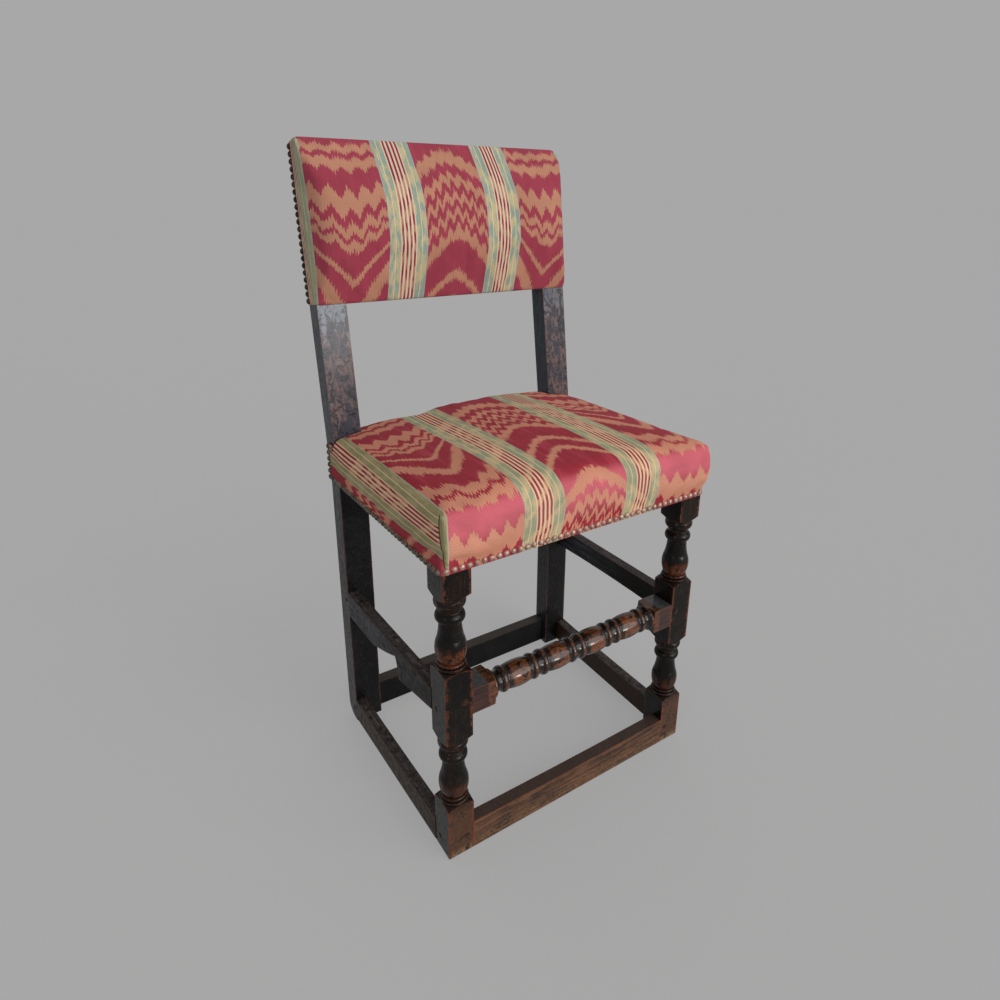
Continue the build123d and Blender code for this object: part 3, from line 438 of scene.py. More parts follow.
class Oak:
    """Old waxed oak. along is the axis of its grain, worn what shows where the wax is rubbed off."""

    def __init__(self, name, along, dark, mid, worn, gloss=0.34, relief=1.0):
        self.graph = graph = Graph(name)
        self.spot = graph.spot()
        drawn = graph.vector_math("SUBTRACT", self.spot, (0, LEG_FRONT / MM, 0))
        self.x, self.y, self.z = graph.split(drawn)
        self.fibre = graph.noise(self.drawn_out(along, 0.05), 0.30, 5.0, 0.62, 0.4)
        self.pores = graph.noise(self.drawn_out(along, 0.16), 1.1, 2.0, 0.6).step(0.60, 0.72)
        self.cloud = graph.noise(self.spot, 0.022, 4.0, 0.6)
        self.patch = graph.noise(self.spot, 0.11, 4.0, 0.65, 0.6)
        self.grit = graph.noise(self.spot, 0.42, 4.0, 0.75)
        self.dust = graph.noise(self.spot, 0.75, 3.0, 0.7)
        self.normal = graph.node("ShaderNodeNewGeometry", output="Normal")
        self.open = graph.node("ShaderNodeAmbientOcclusion", {"Distance": 5 * MM}, "AO", samples=4)
        self.worn, self.gloss, self.relief = worn, gloss, relief
        self.specks, self.shine, self.coat = 0.16, 0.22, 0.0
        base = self.cloud.step(0.36, 0.66).mix(linear(dark), linear(mid))
        self.base = self.fibre.step(0.35, 0.7, 0.0, 0.5).mix(base, linear(dark))
        self.wear = self.edge_wear()

    def drawn_out(self, along, share):
        """The spot, with its coordinate along that axis made that share of itself."""
        return self.graph.vector_math("MULTIPLY", self.spot, tuple(share if axis == along else 1.0
                                                                   for axis in "xyz"))

    def looks(self, towards, normal):
        return self.graph.vector_math("DOT_PRODUCT", normal, towards, "Value")

    def edge_wear(self):
        """1 along the outer edges, broken up where the wax has stayed."""
        rounded = self.graph.node("ShaderNodeBevel", {"Radius": 4 * MM}, samples=6)
        edge = self.looks(rounded, self.normal).step(0.992, 0.915)
        return edge * self.open.step(0.72, 0.9) * self.patch.step(0.34, 0.5) * 0.75

    def add_wear(self, mask):
        self.wear = self.wear.math("MAXIMUM", mask)

    def facing(self, direction, low=0.5, high=0.9):
        """1 where the surface looks that way."""
        return self.looks(tuple(Vector(direction).normalized()), self.normal).step(low, high)

    def tinge(self, colour, mask):
        self.base = mask.mix(self.base, linear(colour))

    def done(self):
        graph, gloss = self.graph, self.gloss
        worn = self.fibre.step(0.3, 0.7).mix(linear(self.worn), linear(c * 0.5 for c in self.worn))
        worn = self.grit.step(0.54, 0.66, 0.0, 0.75).mix(worn, linear((24, 15, 11)))
        colour = self.wear.mix(self.base, worn)
        colour = (self.pores * 0.6).mix(colour, linear((12, 9, 8)))
        colour = self.dust.step(0.66, 0.73, 0.0, self.specks).mix(colour, linear((170, 160, 148)))
        # Near black where ambient occlusion finds hollows and meeting parts: painted shade, with the grime
        # of the grooves.
        colour = self.open.step(0.35, 0.8, 0.8, 0.0).mix(colour, linear((9, 7, 6)))
        dents = graph.node("ShaderNodeTexVoronoi", {"Vector": self.spot, "Scale": 0.085, "Randomness": 1.0},
                           "Distance", feature="SMOOTH_F1")
        height = self.fibre * 0.5 + self.pores * -0.35 + self.patch * 1.1 + self.grit * 0.35
        height = height + dents.step(0.05, 0.35, -0.4, 0.0)
        return graph.shaded(
            Base_Color=colour, Roughness=self.patch.step(0.3, 0.7, gloss - 0.08, gloss + 0.16),
            Normal=graph.bump(height, 0.0008 * self.relief, 0.8), Coat_Weight=self.coat,
            Coat_Roughness=0.14, Specular_IOR_Level=self.shine)


def distance_from(a, a0, b, b0):
    """Distance from an axis that crosses the plane of a and b at (a0, b0)."""
    return ((a - a0).math("POWER", 2.0) + (b - b0).math("POWER", 2.0)).math("SQRT")


def front_leg_oak():
    """Near black, with rubbed bellies, ring crests and block edges, and brown feet."""
    oak = Oak("oak_front_leg", "z", (9, 7, 6), (21, 16, 12), (118, 61, 34), gloss=0.25)
    oak.coat, oak.shine, oak.specks = 0.22, 0.08, 0.4
    for low, high, amount in ((305, 334, 0.85), (96, 124, 0.4)):
        belly = oak.z.step(low - 3, low + 4) * oak.z.step(high, high - 12)
        oak.add_wear(belly * oak.patch.step(0.34, 0.52) * amount)
    radius = distance_from(abs(oak.x), LEG_AXIS[0], oak.y, LEG_AXIS[1])
    off = abs(oak.z - TURNING_MIDDLE)
    turned = off.step(52, 58) * off.step(158, 154)
    oak.add_wear(turned * radius.step(19.0, 19.8) * oak.patch.step(0.48, 0.62) * 0.2)
    ragged = abs(abs(oak.x) - LEG_AXIS[0]) + oak.patch.step(0.3, 0.7, -2.5, 2.5)
    oak.add_wear(ragged.step(15.4, 17.2) * oak.facing(FRONT, 0.9, 0.97) * oak.patch.step(0.36, 0.5) * 0.75)
    foot = oak.z.step(98, 66) * oak.facing(FRONT, 0.3)
    oak.tinge((74, 48, 34), foot * oak.patch.step(0.22, 0.5))
    oak.tinge((112, 90, 62), foot * oak.grit.step(0.55, 0.7) * 0.6)
    oak.tinge((128, 104, 74), foot * oak.z.step(16, 3) * oak.patch.step(0.35, 0.5) * 0.7)
    oak.add_wear(oak.fibre.step(0.5, 0.62) * oak.cloud.step(0.52, 0.64) * 0.3)
    return oak.done()


def turned_stretcher_oak():
    """Bobbins and rings rubbed to bare brown wood on the side of the sitter's feet."""
    oak = Oak("oak_turned_stretcher", "x", (9, 7, 7), (20, 15, 12), (130, 74, 42), gloss=0.20)
    oak.coat, oak.shine, oak.specks = 0.7, 0.12, 0.25
    radius = distance_from(oak.y, STRETCHER_AXIS[0], oak.z, STRETCHER_AXIS[1])
    bobbin = abs(oak.x).math("PINGPONG", BOBBIN_STEP).step(17.5, 21.0)
    crest = radius.step(17.1, 17.8, 0.0, 0.7)
    end = abs(oak.x).step(150, 154)
    rubbed = bobbin.math("MAXIMUM", crest) * (1.0 - end) * oak.patch.step(0.34, 0.50)
    oak.add_wear(rubbed * oak.facing((-0.1, -0.75, 0.6), 0.1, 0.7) * 0.95)
    oak.tinge((66, 34, 27), end * oak.facing(FRONT) * oak.fibre.step(0.3, 0.6) * 0.9)
    # The end blocks' tops are turned grey: painted sheen on faces that look up.
    oak.tinge((84, 84, 86), end * oak.facing(UP, 0.6, 0.97) * oak.patch.step(0.2, 0.5) * 0.9)
    return oak.done()


def front_low_oak():
    """Brown and dry from years of shoes, with a darker top."""
    oak = Oak("oak_front_low", "x", (44, 30, 23), (92, 62, 42), (134, 78, 50), gloss=0.38, relief=1.5)
    oak.tinge((70, 55, 50), oak.facing(UP) * 0.85)
    oak.tinge((134, 106, 74), oak.z.step(30, 6) * oak.grit.step(0.45, 0.62) * 0.5)
    oak.tinge((122, 82, 54), oak.facing(FRONT) * oak.fibre.step(0.45, 0.6) * 0.6)
    return oak.done()


def side_oak():
    """Greyer on top, with a cool light on the left upper stretcher and brown on the low ones."""
    oak = Oak("oak_side", "y", (12, 10, 9), (26, 20, 17), (88, 58, 44), gloss=0.34)
    oak.shine = 0.10
    top = oak.facing(UP)
    # the faces that look up are turned grey, in patches and along the grain
    oak.tinge((72, 64, 62), top * oak.patch.step(0.25, 0.6) * 0.8)
    oak.tinge((106, 96, 94), top * oak.fibre.step(0.5, 0.62) * oak.patch.step(0.4, 0.55) * 0.6)
    cool = oak.z.step(150, 200) * oak.y.step(110, 240) * oak.facing((-1, 0, 0.2))
    oak.tinge((72, 76, 86), cool * oak.fibre.step(0.4, 0.6) * 0.6)
    oak.tinge((60, 42, 32), oak.facing(LEFT) * oak.z.step(120, 60) * 0.6)
    return oak.done()


def back_low_oak():
    oak = Oak("oak_back_low", "x", (11, 11, 12), (24, 23, 24), (70, 54, 46), gloss=0.40)
    oak.shine = 0.12
    oak.tinge((72, 66, 60), oak.facing(UP) * 0.7)
    return oak.done()


def upright_oak():
    """Painted cool sheen on the uprights' upper front, painted reflection high on the front and on the left
    faces, brown smears and fine scratches; near black below the seat.
    """
    oak = Oak("oak_upright", "z", (9, 9, 11), (22, 20, 22), (118, 76, 56), gloss=0.32, relief=2.0)
    oak.coat, oak.shine, oak.specks = 0.15, 0.12, 0.6
    front = oak.facing((0, -1, 0.1)) * oak.z.step(470, 520)
    smear = oak.graph.noise(oak.drawn_out("z", 0.35), 0.075, 4.0, 0.7, 0.8)
    # painted sheen: the upper front faces turned a cool grey
    oak.tinge((62, 62, 72), front * 0.8)
    oak.tinge((108, 86, 82), front * smear.step(0.46, 0.56) * oak.patch.step(0.3, 0.5) * 0.8)
    # painted reflection of a window: pale blue-grey streaks high on the front
    high = (oak.z.step(610, 720, 0.0, 0.3) + smear).step(0.62, 0.76)
    oak.tinge((112, 124, 136), front * high * oak.patch.step(0.32, 0.5) * oak.x.step(60, -60, 0.4, 0.8))
    oak.tinge((26, 24, 28), front * oak.patch.step(0.47, 0.41) * oak.grit.step(0.35, 0.5) * 0.75)
    oak.tinge((150, 140, 140), front * oak.grit.step(0.62, 0.7) * smear.step(0.45, 0.6) * 0.7)
    left = oak.facing(LEFT)
    # painted reflection: the left faces tinged cool blue-grey, most higher up, and faintly low down
    oak.tinge((58, 68, 78), left * oak.z.step(250, 520) * oak.fibre.step(0.25, 0.6) * 0.85)
    oak.tinge((40, 46, 54), left * oak.z.step(300, 120) * 0.4)
    return oak.done()


def hidden_oak():
    return Oak("oak_hidden", "x", (70, 50, 36), (112, 84, 58), (132, 98, 66), gloss=0.6).done()


def peg_oak():
    return Oak("oak_peg", "x", (18, 13, 11), (50, 33, 25), (96, 56, 36), gloss=0.4).done()


def metal(name, dull, bright, roughness):
    """Old metal: each nail has its own tone, rubbed brighter in places and dirty in others."""
    graph = Graph(name)
    spot = graph.spot()
    tone = graph.noise(spot, 0.18, 2.0)
    grime = graph.noise(spot, 0.9, 3.0, 0.6)
    colour = tone.step(0.35, 0.65).mix(linear(dull), linear(bright))
    colour = grime.step(0.52, 0.72, 0.0, 0.7).mix(colour, linear(c * 0.3 for c in dull))
    return graph.shaded(Base_Color=colour, Roughness=grime.step(0.35, 0.7, roughness, roughness + 0.25),
                        Normal=graph.bump(graph.noise(spot, 1.6, 2.0), 0.0001, 0.6), Metallic=0.9)


def linen(name, pale, deep, pitch):
    """Plain woven linen or jute: threads of that pitch in millimetres."""
    graph = Graph(name)
    spot = graph.spot()
    x, y, z = graph.split(spot)
    turn = 2 * math.pi / pitch
    thread = (x * turn).math("SINE") * ((y + z) * turn).math("SINE")
    slub = graph.noise(graph.vector_math("MULTIPLY", spot, (1.0, 0.12, 0.12)), 0.5, 3.0, 0.6)
    age = graph.noise(spot, 0.02, 3.0, 0.6)
    colour = slub.step(0.3, 0.7).mix(linear(pale), linear(deep))
    colour = age.step(0.4, 0.7, 0.0, 0.5).mix(colour, linear(c * 0.7 for c in deep))
    return graph.shaded(Base_Color=colour, Normal=graph.bump(thread + slub, 0.00025, 0.8), Roughness=0.9,
                        Sheen_Weight=0.2, Specular_IOR_Level=0.2)


def dress(material, *names):
    for name in names:
        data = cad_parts[name].data
        data.materials.clear()
        data.materials.append(material)


def dress_frame():
    dress(front_leg_oak(), "front_leg_left", "front_leg_right")
    dress(turned_stretcher_oak(), "turned_front_stretcher")
    dress(front_low_oak(), "front_low_stretcher")
    dress(side_oak(), *(f"side_{part}_stretcher_{side}" for part in ("upper", "low") for side in SIDES))
    dress(back_low_oak(), "back_low_stretcher")
    dress(upright_oak(), "back_leg_left", "back_leg_right")
    dress(hidden_oak(), *(f"seat_rail_{side}" for side in ("front", "back", "left", "right")),
          "back_lower_rail", "back_top_rail")
    dress(peg_oak(), "front_leg_pegs", "back_leg_pegs")
    dress(metal("pewter_brass", (158, 124, 112), (198, 166, 152), 0.46), "seat_nails_front")
    dress(metal("dark_brass", (86, 76, 66), (138, 124, 108), 0.42), "seat_nails_left", "seat_nails_right",
          "seat_nails_back")
    dress(metal("black_brass", (46, 42, 40), (84, 76, 70), 0.42), "back_nails_left", "back_nails_right",
          "back_nails_rear")
    dress(metal("tack_iron", (48, 44, 42), (84, 76, 70), 0.5), "seat_web_tacks", "back_web_tacks")
    dress(linen("webbing", (168, 142, 104), (128, 102, 70), 1.6), "back_webs")
    dress(linen("base_linen", (186, 170, 140), (150, 132, 102), 1.0), "back_base_cloth")


# ================================================================ stretched covers
# A cover starts as the surface of an open box, in rows and columns. Each point then moves along a
# ray from the box's core onto a form that is given by signed distances.
CELL = 4.0


def arc(start, middle, end, count=14):
    """Points on the circle through three points, without the last one."""
    (ax, ay), (bx, by), (cx, cy) = start, middle, end
    d = 2 * (ax * (by - cy) + bx * (cy - ay) + cx * (ay - by))
    sa, sb, sc = ax * ax + ay * ay, bx * bx + by * by, cx * cx + cy * cy
    ux = (sa * (by - cy) + sb * (cy - ay) + sc * (ay - by)) / d
    uy = (sa * (cx - bx) + sb * (ax - cx) + sc * (bx - ax)) / d
    first = math.atan2(ay - uy, ax - ux)
    sweep = math.atan2(cy - uy, cx - ux) - first
    through = math.atan2(by - uy, bx - ux) - first
    turn = 2 * math.pi
    sweep, through = sweep % turn, through % turn
    if through > sweep:
        sweep -= turn
    radius = math.hypot(ax - ux, ay - uy)
    angles = [first + sweep * n / count for n in range(count)]
    return [(ux + radius * math.cos(a), uy + radius * math.sin(a)) for a in angles]


def outline_distance(outline, x, y):
    """Signed distance to a closed outline, negative inside."""
    points = np.asarray(outline, float)
    ends = np.roll(points, -1, axis=0)
    nearest = np.full(x.shape, np.inf)
    inside = np.zeros(x.shape, bool)
    for (ax, ay), (bx, by) in zip(points, ends):
        ex, ey = bx - ax, by - ay
        t = np.clip(((x - ax) * ex + (y - ay) * ey) / (ex * ex + ey * ey), 0, 1)
        nearest = np.minimum(nearest, np.hypot(x - ax - t * ex, y - ay - t * ey))
        if ay != by:
            crosses = (ay > y) != (by > y)
            inside ^= crosses & (x < ax + (y - ay) * ex / ey)
    return np.where(inside, -nearest, nearest)


def soft_max(a, b, blend):
    h = np.clip(0.5 + 0.5 * (a - b) / blend, 0, 1)
    return b + (a - b) * h + blend * h * (1 - h)


def even(start, end, cell):
    count = max(1, round(abs(end - start) / cell))
    return list(np.linspace(start, end, count + 1))


def columns(*stops):
    """Positions through all the stops, about CELL apart."""
    places = [stops[0]]
    for start, end in zip(stops, stops[1:]):
        places += even(start, end, CELL)[1:]
    return np.array(places)


def mapped_mesh(name, points, faces, places):
    """A smooth mesh without loose points. places is each face corner's place on the flat cloth."""
    mesh = bpy.data.meshes.new(name)
    mesh.from_pydata([tuple(p) for p in points], [], faces)
    layer = mesh.uv_layers.new(name="cloth_mm")
    layer.data.foreach_set("uv", np.array(places, np.float32).ravel())
    loose = bmesh.new()
    loose.from_mesh(mesh)
    bmesh.ops.delete(loose, geom=[v for v in loose.verts if not v.link_faces], context="VERTS")
    loose.to_mesh(mesh)
    loose.free()
    for face in mesh.polygons:
        face.use_smooth = True
    thing = bpy.data.objects.new(name, mesh)
    bpy.context.scene.collection.objects.link(thing)
    return thing


class Cover:
    """The rows of an open box: i along x, j along y, k along the box's height. The open side is k = 0."""

    def __init__(self, xs, ys, hs, core, distance):
        self.xs, self.ys, self.hs = xs, ys, hs
        self.index = {}
        spots = []
        last = (len(xs) - 1, len(ys) - 1, len(hs) - 1)
        self.last = last
        for i in range(len(xs)):
            for j in range(len(ys)):
                for k in range(len(hs)):
                    if i in (0, last[0]) or j in (0, last[1]) or k == last[2]:
                        self.index[i, j, k] = len(spots)
                        spots.append((xs[i], ys[j], hs[k]))
        self.points = self.thrown(np.array(spots), core, distance)

    def thrown(self, spots, core, distance):
        """Each spot moved along its ray from the core onto the form."""
        start = np.minimum(np.maximum(spots, core[0]), core[1])
        ray = spots - start
        ray /= np.linalg.norm(ray, axis=1)[:, None]
        near, far = np.zeros(len(spots)), np.full(len(spots), 90.0)
        for _ in range(18):
            middle = (near + far) / 2
            outside = distance(start + ray * middle[:, None]) > 0
            far = np.where(outside, middle, far)
            near = np.where(outside, near, middle)
        return start + ray * near[:, None]

    def quads(self):
        """(patch, its four (i, j, k) keys, turned outwards), for the top, both ends and both sides."""
        ni, nj, nk = self.last
        for i in range(ni):
            for j in range(nj):
                yield "top", [(i, j, nk), (i + 1, j, nk), (i + 1, j + 1, nk), (i, j + 1, nk)]
        for i in range(ni):
            for k in range(nk):
                yield "near", [(i, 0, k), (i + 1, 0, k), (i + 1, 0, k + 1), (i, 0, k + 1)]
                yield "far", [(i, nj, k), (i, nj, k + 1), (i + 1, nj, k + 1), (i + 1, nj, k)]
        for j in range(nj):
            for k in range(nk):
                yield "left", [(0, j, k), (0, j, k + 1), (0, j + 1, k + 1), (0, j + 1, k)]
                yield "right", [(ni, j, k), (ni, j + 1, k), (ni, j + 1, k + 1), (ni, j, k + 1)]

    def along(self, keys):
        """Distance along a row of keys, from its first."""
        row = self.points[[self.index[key] for key in keys]]
        steps = np.linalg.norm(np.diff(row, axis=0), axis=1)
        return np.concatenate([[0], np.cumsum(steps)])

    def measure(self):
        """Cloth lengths: across the middle row, down a side, and over the middle column."""
        ni, nj, nk = self.last
        mi, mj = ni // 2, nj // 2
        self.across = self.along([(i, mj, nk) for i in range(ni + 1)])
        self.across -= self.across[mi]
        self.down = self.along([(ni, mj, k) for k in range(nk, -1, -1)])[::-1]
        near = self.along([(mi, 0, k) for k in range(nk + 1)])
        top = self.along([(mi, j, nk) for j in range(nj + 1)]) + near[-1]
        far = self.along([(mi, nj, k) for k in range(nk, -1, -1)]) + top[-1]
        self.near, self.top, self.far = near, top, far[::-1]

    def cloth_place(self, patch, key):
        """Where a key of that patch lies on the flat cloth, in millimetres."""
        i, j, k = key
        if patch == "top":
            return self.across[i], self.top[j]
        if patch == "near":
            return self.across[i], self.near[k]
        if patch == "far":
            return self.across[i], self.far[k]
        if patch == "left":
            return self.across[0] - self.down[k], self.top[j]
        return self.across[-1] + self.down[k], self.top[j]

    def smooth(self, rounds, held):
        """Relaxes the points towards their neighbours, except those of the lowest rows, up to held."""
        keep = np.array([k <= held for _, _, k in self.index])
        links = set()
        for _, keys in self.quads():
            ids = [self.index[key] for key in keys]
            for a, b in zip(ids, ids[1:] + ids[:1]):
                links.add((min(a, b), max(a, b)))
        pairs = np.array(sorted(links))
        count = np.bincount(pairs.ravel(), minlength=len(self.points))
        for _ in range(rounds):
            total = np.zeros_like(self.points)
            np.add.at(total, pairs[:, 0], self.points[pairs[:, 1]])
            np.add.at(total, pairs[:, 1], self.points[pairs[:, 0]])
            middle = total / count[:, None]
            moved = self.points + 0.5 * (middle - self.points)
            self.points = np.where(keep[:, None], self.points, moved)

    def mesh(self, name, drop, real):
        """The mesh without the quads that drop(patch, keys) says."""
        faces, places = [], []
        for patch, keys in self.quads():
            if not drop(patch, keys):
                faces.append([self.index[key] for key in keys])
                places += [self.cloth_place(patch, key) for key in keys]
        return mapped_mesh(name, real(self.points), faces, places)


# ================================================================ the seat's cover
FRONT_HALF = 215.3                   # of the frame, at the front legs
BACK_HALF = 220.7
FRAME_DEPTH = 320.2
FRAME_BACK = 353.7
POST_INNER = 176.8
COVER_OUT = 2.1                      # outer face of a cover, off the wood
CLOTH = 1.6                          # thickness of a cover
HEM = 439.5
WRAP_TOP = 498.0
SEAT_FALL = 0.04
SEAT_LIFT = 8.0
SEAT_EASE = 1.0                      # makes up for the softened edges
KNEE = 432.0
RAKE = math.radians(7.8)
POST_GAP = 0.7


def side_spread(y):
    return (BACK_HALF - FRONT_HALF) * y / FRAME_DEPTH


def post_front(z):
    return FRAME_DEPTH + (z - KNEE) * math.tan(RAKE)


def seat_distance(p):
    x, y, z = p.T
    front, rear = -COVER_OUT, FRAME_BACK + COVER_OUT
    profile = [(front, 380), (front, 449.7)]
    profile += arc((front, 449.7), (front - 11.5, 489), (front - 5, 516))
    profile += arc((front - 5, 516), (front + 5, 525), (24, 530))
    profile += arc((24, 530), (160, 535.5), (FRAME_DEPTH, 530))
    profile += arc((FRAME_DEPTH, 530), (346, 525.5), (rear, 509))
    profile += [(rear, 509), (rear, 380)]
    half, side_top, roll = FRONT_HALF + COVER_OUT, 523.5, 13.0
    corner = roll * (1 - math.sqrt(0.5))
    limit = [(-400, 380), (half, 380)]
    limit += arc((half, side_top - roll), (half - corner, side_top - corner), (half - roll, side_top), 6)
    limit += arc((half - roll, side_top), (140, 534), (0, 538))
    limit += [(0, 538), (-400, 538)]
    z = z - seat_lift(x, y) * smoothstep(490, 520, z)
    over = outline_distance(profile, y, z)
    side = outline_distance(limit, np.maximum(np.abs(x) - side_spread(y), 0.01), z + SEAT_FALL * y)
    return soft_max(over, side, 6.0)


def seat_lift(x, y):
    """The stuffing is thin at the left rear, and fuller from the middle on."""
    fuller = SEAT_LIFT * (smoothstep(-85, -15, x) - 0.5) - smoothstep(60, 120, x)
    return fuller * smoothstep(20, 320, y) + SEAT_EASE


def seat_held(spot):
    """The seat cover is nailed along its hem, and held where it meets the posts."""
    x, y, z = spot / MM - np.array([0, LEG_FRONT / MM, 0])
    nailed = z < HEM + 14
    posts = abs(x) > POST_INNER - 8 and y > post_front(z) - 8
    return nailed or posts


def seam_in(cover):
    """Draws the sides in along the seams beside the front corners."""
    for (i, j, k), n in cover.index.items():
        if i in (0, cover.last[0]) and 0 < j < 7:
            wide = LAP_TOP + (LAP_HEM - LAP_TOP) * float(smoothstep(0, 75, cover.down[k]))
            past = cover.top[j] - cover.near[-1] - wide
            cover.points[n, 0] *= 1 - 0.007 * math.exp(-(past / 3.0) ** 2)


def make_seat_cover():
    half = FRONT_HALF + COVER_OUT
    inset, rear_inset = 18.0, 20.0
    core_x = half - inset
    notch_x = POST_INNER - POST_GAP
    notch_y = post_front(515) - POST_GAP
    core = np.array([(-core_x, 14.0, -1000), (core_x, FRAME_BACK - rear_inset, 500.0)])
    xs = columns(-half, -core_x, -notch_x, 0, notch_x, core_x, half)
    ys = columns(-12, 14, notch_y, FRAME_BACK - rear_inset, FRAME_BACK + 2)
    hs = columns(HEM, WRAP_TOP, 526)
    cover = Cover(xs, ys, hs, core, seat_distance)
    cover.measure()
    ci = [int(np.argmin(abs(xs - v))) for v in (-notch_x, notch_x)]
    cj = int(np.argmin(abs(ys - notch_y)))
    ck = int(np.argmin(abs(hs - WRAP_TOP)))
    cover.smooth(4, held=3)

    def drop(patch, keys):
        i, j, k = (min(key[axis] for key in keys) for axis in range(3))
        outside = i < ci[0] or i >= ci[1]
        if patch == "top" or patch == "far":
            return outside and (j >= cj or patch == "far")
        return patch in SIDES and j >= cj and k >= ck

    for (i, j, k), n in cover.index.items():
        on_top = k == cover.last[2] and (i <= ci[0] or i >= ci[1])
        on_side = k >= ck and i in (0, cover.last[0])
        if j == cj and (on_top or on_side):
            cover.points[n, 1] = post_front(cover.points[n, 2]) - POST_GAP
    seam_in(cover)
    return cover.mesh("seat_cushion", drop, place), (cover.across[-1], cover.near[-1])


# ================================================================ the back's cover
PANEL_START = 275.5
PANEL_END = 498.2
SIDE_ROLL = 52.0                     # width over which the panel rolls off at either side
SIDE_BULGE = 4.5                     # what is left of its bulge at the side edges
BACK_LEG_DEPTH = 33.5


def leaned(points):
    """(x, distance up, forward) on the raked uprights, to row frame metres."""
    x, up, forward = np.asarray(points, float).T
    c, s = math.cos(RAKE), math.sin(RAKE)
    y = FRAME_DEPTH - forward * c + up * s
    z = KNEE + forward * s + up * c
    return place(np.column_stack([x, y, z]))


def back_distance(p):
    x, up, forward = p.T
    half = BACK_HALF + COVER_OUT
    plan = [(-400, -80), (half, -80)]
    plan += arc((half, SIDE_BULGE), (half - 19, 25.5), (half - SIDE_ROLL, COVER_OUT + 33.3))
    plan += [(half - SIDE_ROLL, COVER_OUT + 33.3), (-400, COVER_OUT + 33.3)]
    start, end, crest = PANEL_START - COVER_OUT, PANEL_END + COVER_OUT, 504.0
    front, rear = COVER_OUT, -BACK_LEG_DEPTH
    outline = arc((start, front), (391.5, front + 33.0), (crest, -8))
    outline += arc((crest, -8), ((crest + end) / 2 + 0.4, 0.75 * rear), (end, rear))
    outline += [(end, rear), (end, -80), (start, -80)]
    over = outline_distance(outline, up, forward)
    side = outline_distance(plan, np.abs(x), forward)
    return soft_max(over, side, 3.0)


def back_held(spot):
    """The back cover is nailed along the uprights' sides and held under its lower edge."""
    x, y, z = spot / MM - np.array([0, LEG_FRONT / MM + FRAME_DEPTH, KNEE])
    up, forward = z * math.cos(RAKE) + y * math.sin(RAKE), z * math.sin(RAKE) - y * math.cos(RAKE)
    return forward < -6 or up < PANEL_START + 3


def make_back_cover():
    half = BACK_HALF + COVER_OUT
    inset = 10.0
    core = np.array([(inset - half, PANEL_START + 6, -1000), (half - inset, PANEL_END - 8, -14.0)])
    xs = columns(-half, inset - half, 0, half - inset, half)
    ys = columns(PANEL_START - 2, PANEL_START + 6, PANEL_END - 8, PANEL_END + 4)
    hs = columns(-BACK_LEG_DEPTH, -14, 5)
    cover = Cover(xs, ys, hs, core, back_distance)
    cover.measure()
    cover.smooth(2, held=1)
    return cover.mesh("back_cushion", lambda patch, keys: False, leaned)


# ================================================================ simulation
SIM_FRAMES = 14
SIM_REACH = 3.0                      # the most that a point of a cover may move


def settle(thing, pinned, pressure, slack):
    """Lets the stuffing's pressure settle a cover that is held at its nails and posts."""
    mesh = thing.data
    start = np.empty(len(mesh.vertices) * 3)
    mesh.vertices.foreach_get("co", start)
    start = start.reshape(-1, 3)
    held = thing.vertex_groups.new(name="held")
    held.add([n for n, spot in enumerate(start) if pinned(spot)], 1.0, "REPLACE")
    cloth = thing.modifiers.new("settle", "CLOTH")
    cloth.settings.quality = 4
    cloth.settings.mass = 0.4
    cloth.settings.tension_stiffness = cloth.settings.compression_stiffness = 12
    cloth.settings.bending_stiffness = 0.8
    cloth.settings.shrink_min = -slack
    cloth.settings.use_pressure = True
    cloth.settings.uniform_pressure_force = pressure
    cloth.settings.vertex_group_mass = "held"
    cloth.settings.effector_weights.gravity = 0.0
    cloth.point_cache.frame_end = SIM_FRAMES
    scene = bpy.context.scene
    for frame_number in range(1, SIM_FRAMES + 1):
        scene.frame_set(frame_number)
    settled = thing.evaluated_get(bpy.context.evaluated_depsgraph_get())
    end = np.empty(len(mesh.vertices) * 3)
    settled.data.vertices.foreach_get("co", end)
    moved = end.reshape(-1, 3) - start
    length = np.maximum(np.linalg.norm(moved, axis=1)[:, None], 1e-9)
    reach = SIM_REACH * MM
    moved *= reach * np.tanh(length / reach) / length
    thing.modifiers.remove(cloth)
    thing.vertex_groups.remove(held)
    mesh.vertices.foreach_set("co", (start + moved).ravel())
    mesh.update()
    scene.frame_set(1)


def thicken(thing, thickness, offset=0):
    """Thickens a sheet to both sides, or at an offset of -1 inwards."""
    solid = thing.modifiers.new("thickness", "SOLIDIFY")
    solid.thickness = thickness * MM
    solid.offset = offset


# ================================================================ webs and flat cloths
RAIL_TOP = 487.5                     # where the webs cross
WEB_WIDTH = 48.0
WEB_THICK = 1.5
WEAVE = 1.6                          # how far a web goes over or under the level of the rails
WEB_END = 4.0
WEB_MARGIN = 10.0
LONG_WEBS = 4
CROSS_WEBS = 3
LEG_SIDE = 39.0
BASE_GAP = 2.0                       # from the base cloth to the posts it is cut round


def spread(count, width):
    step = width / count
    return [(n + 0.5) * step - width / 2 for n in range(count)]


def sheet_mesh(name, rows, real, mapped):
    """A sheet of quads through rows of points, with holes at None. mapped(column, row) gives the
    place on the flat cloth."""
    wide = len(rows[0])
    faces, places = [], []
    for j in range(len(rows) - 1):
        for i in range(wide - 1):
            corners = [(i, j), (i + 1, j), (i + 1, j + 1), (i, j + 1)]
            if all(rows[b][a] for a, b in corners):
                faces.append([b * wide + a for a, b in corners])
                places += [mapped(a, b) for a, b in corners]
    points = [spot or (0.0, 0.0, 0.0) for row in rows for spot in row]
    return mapped_mesh(name, real(points), faces, places)


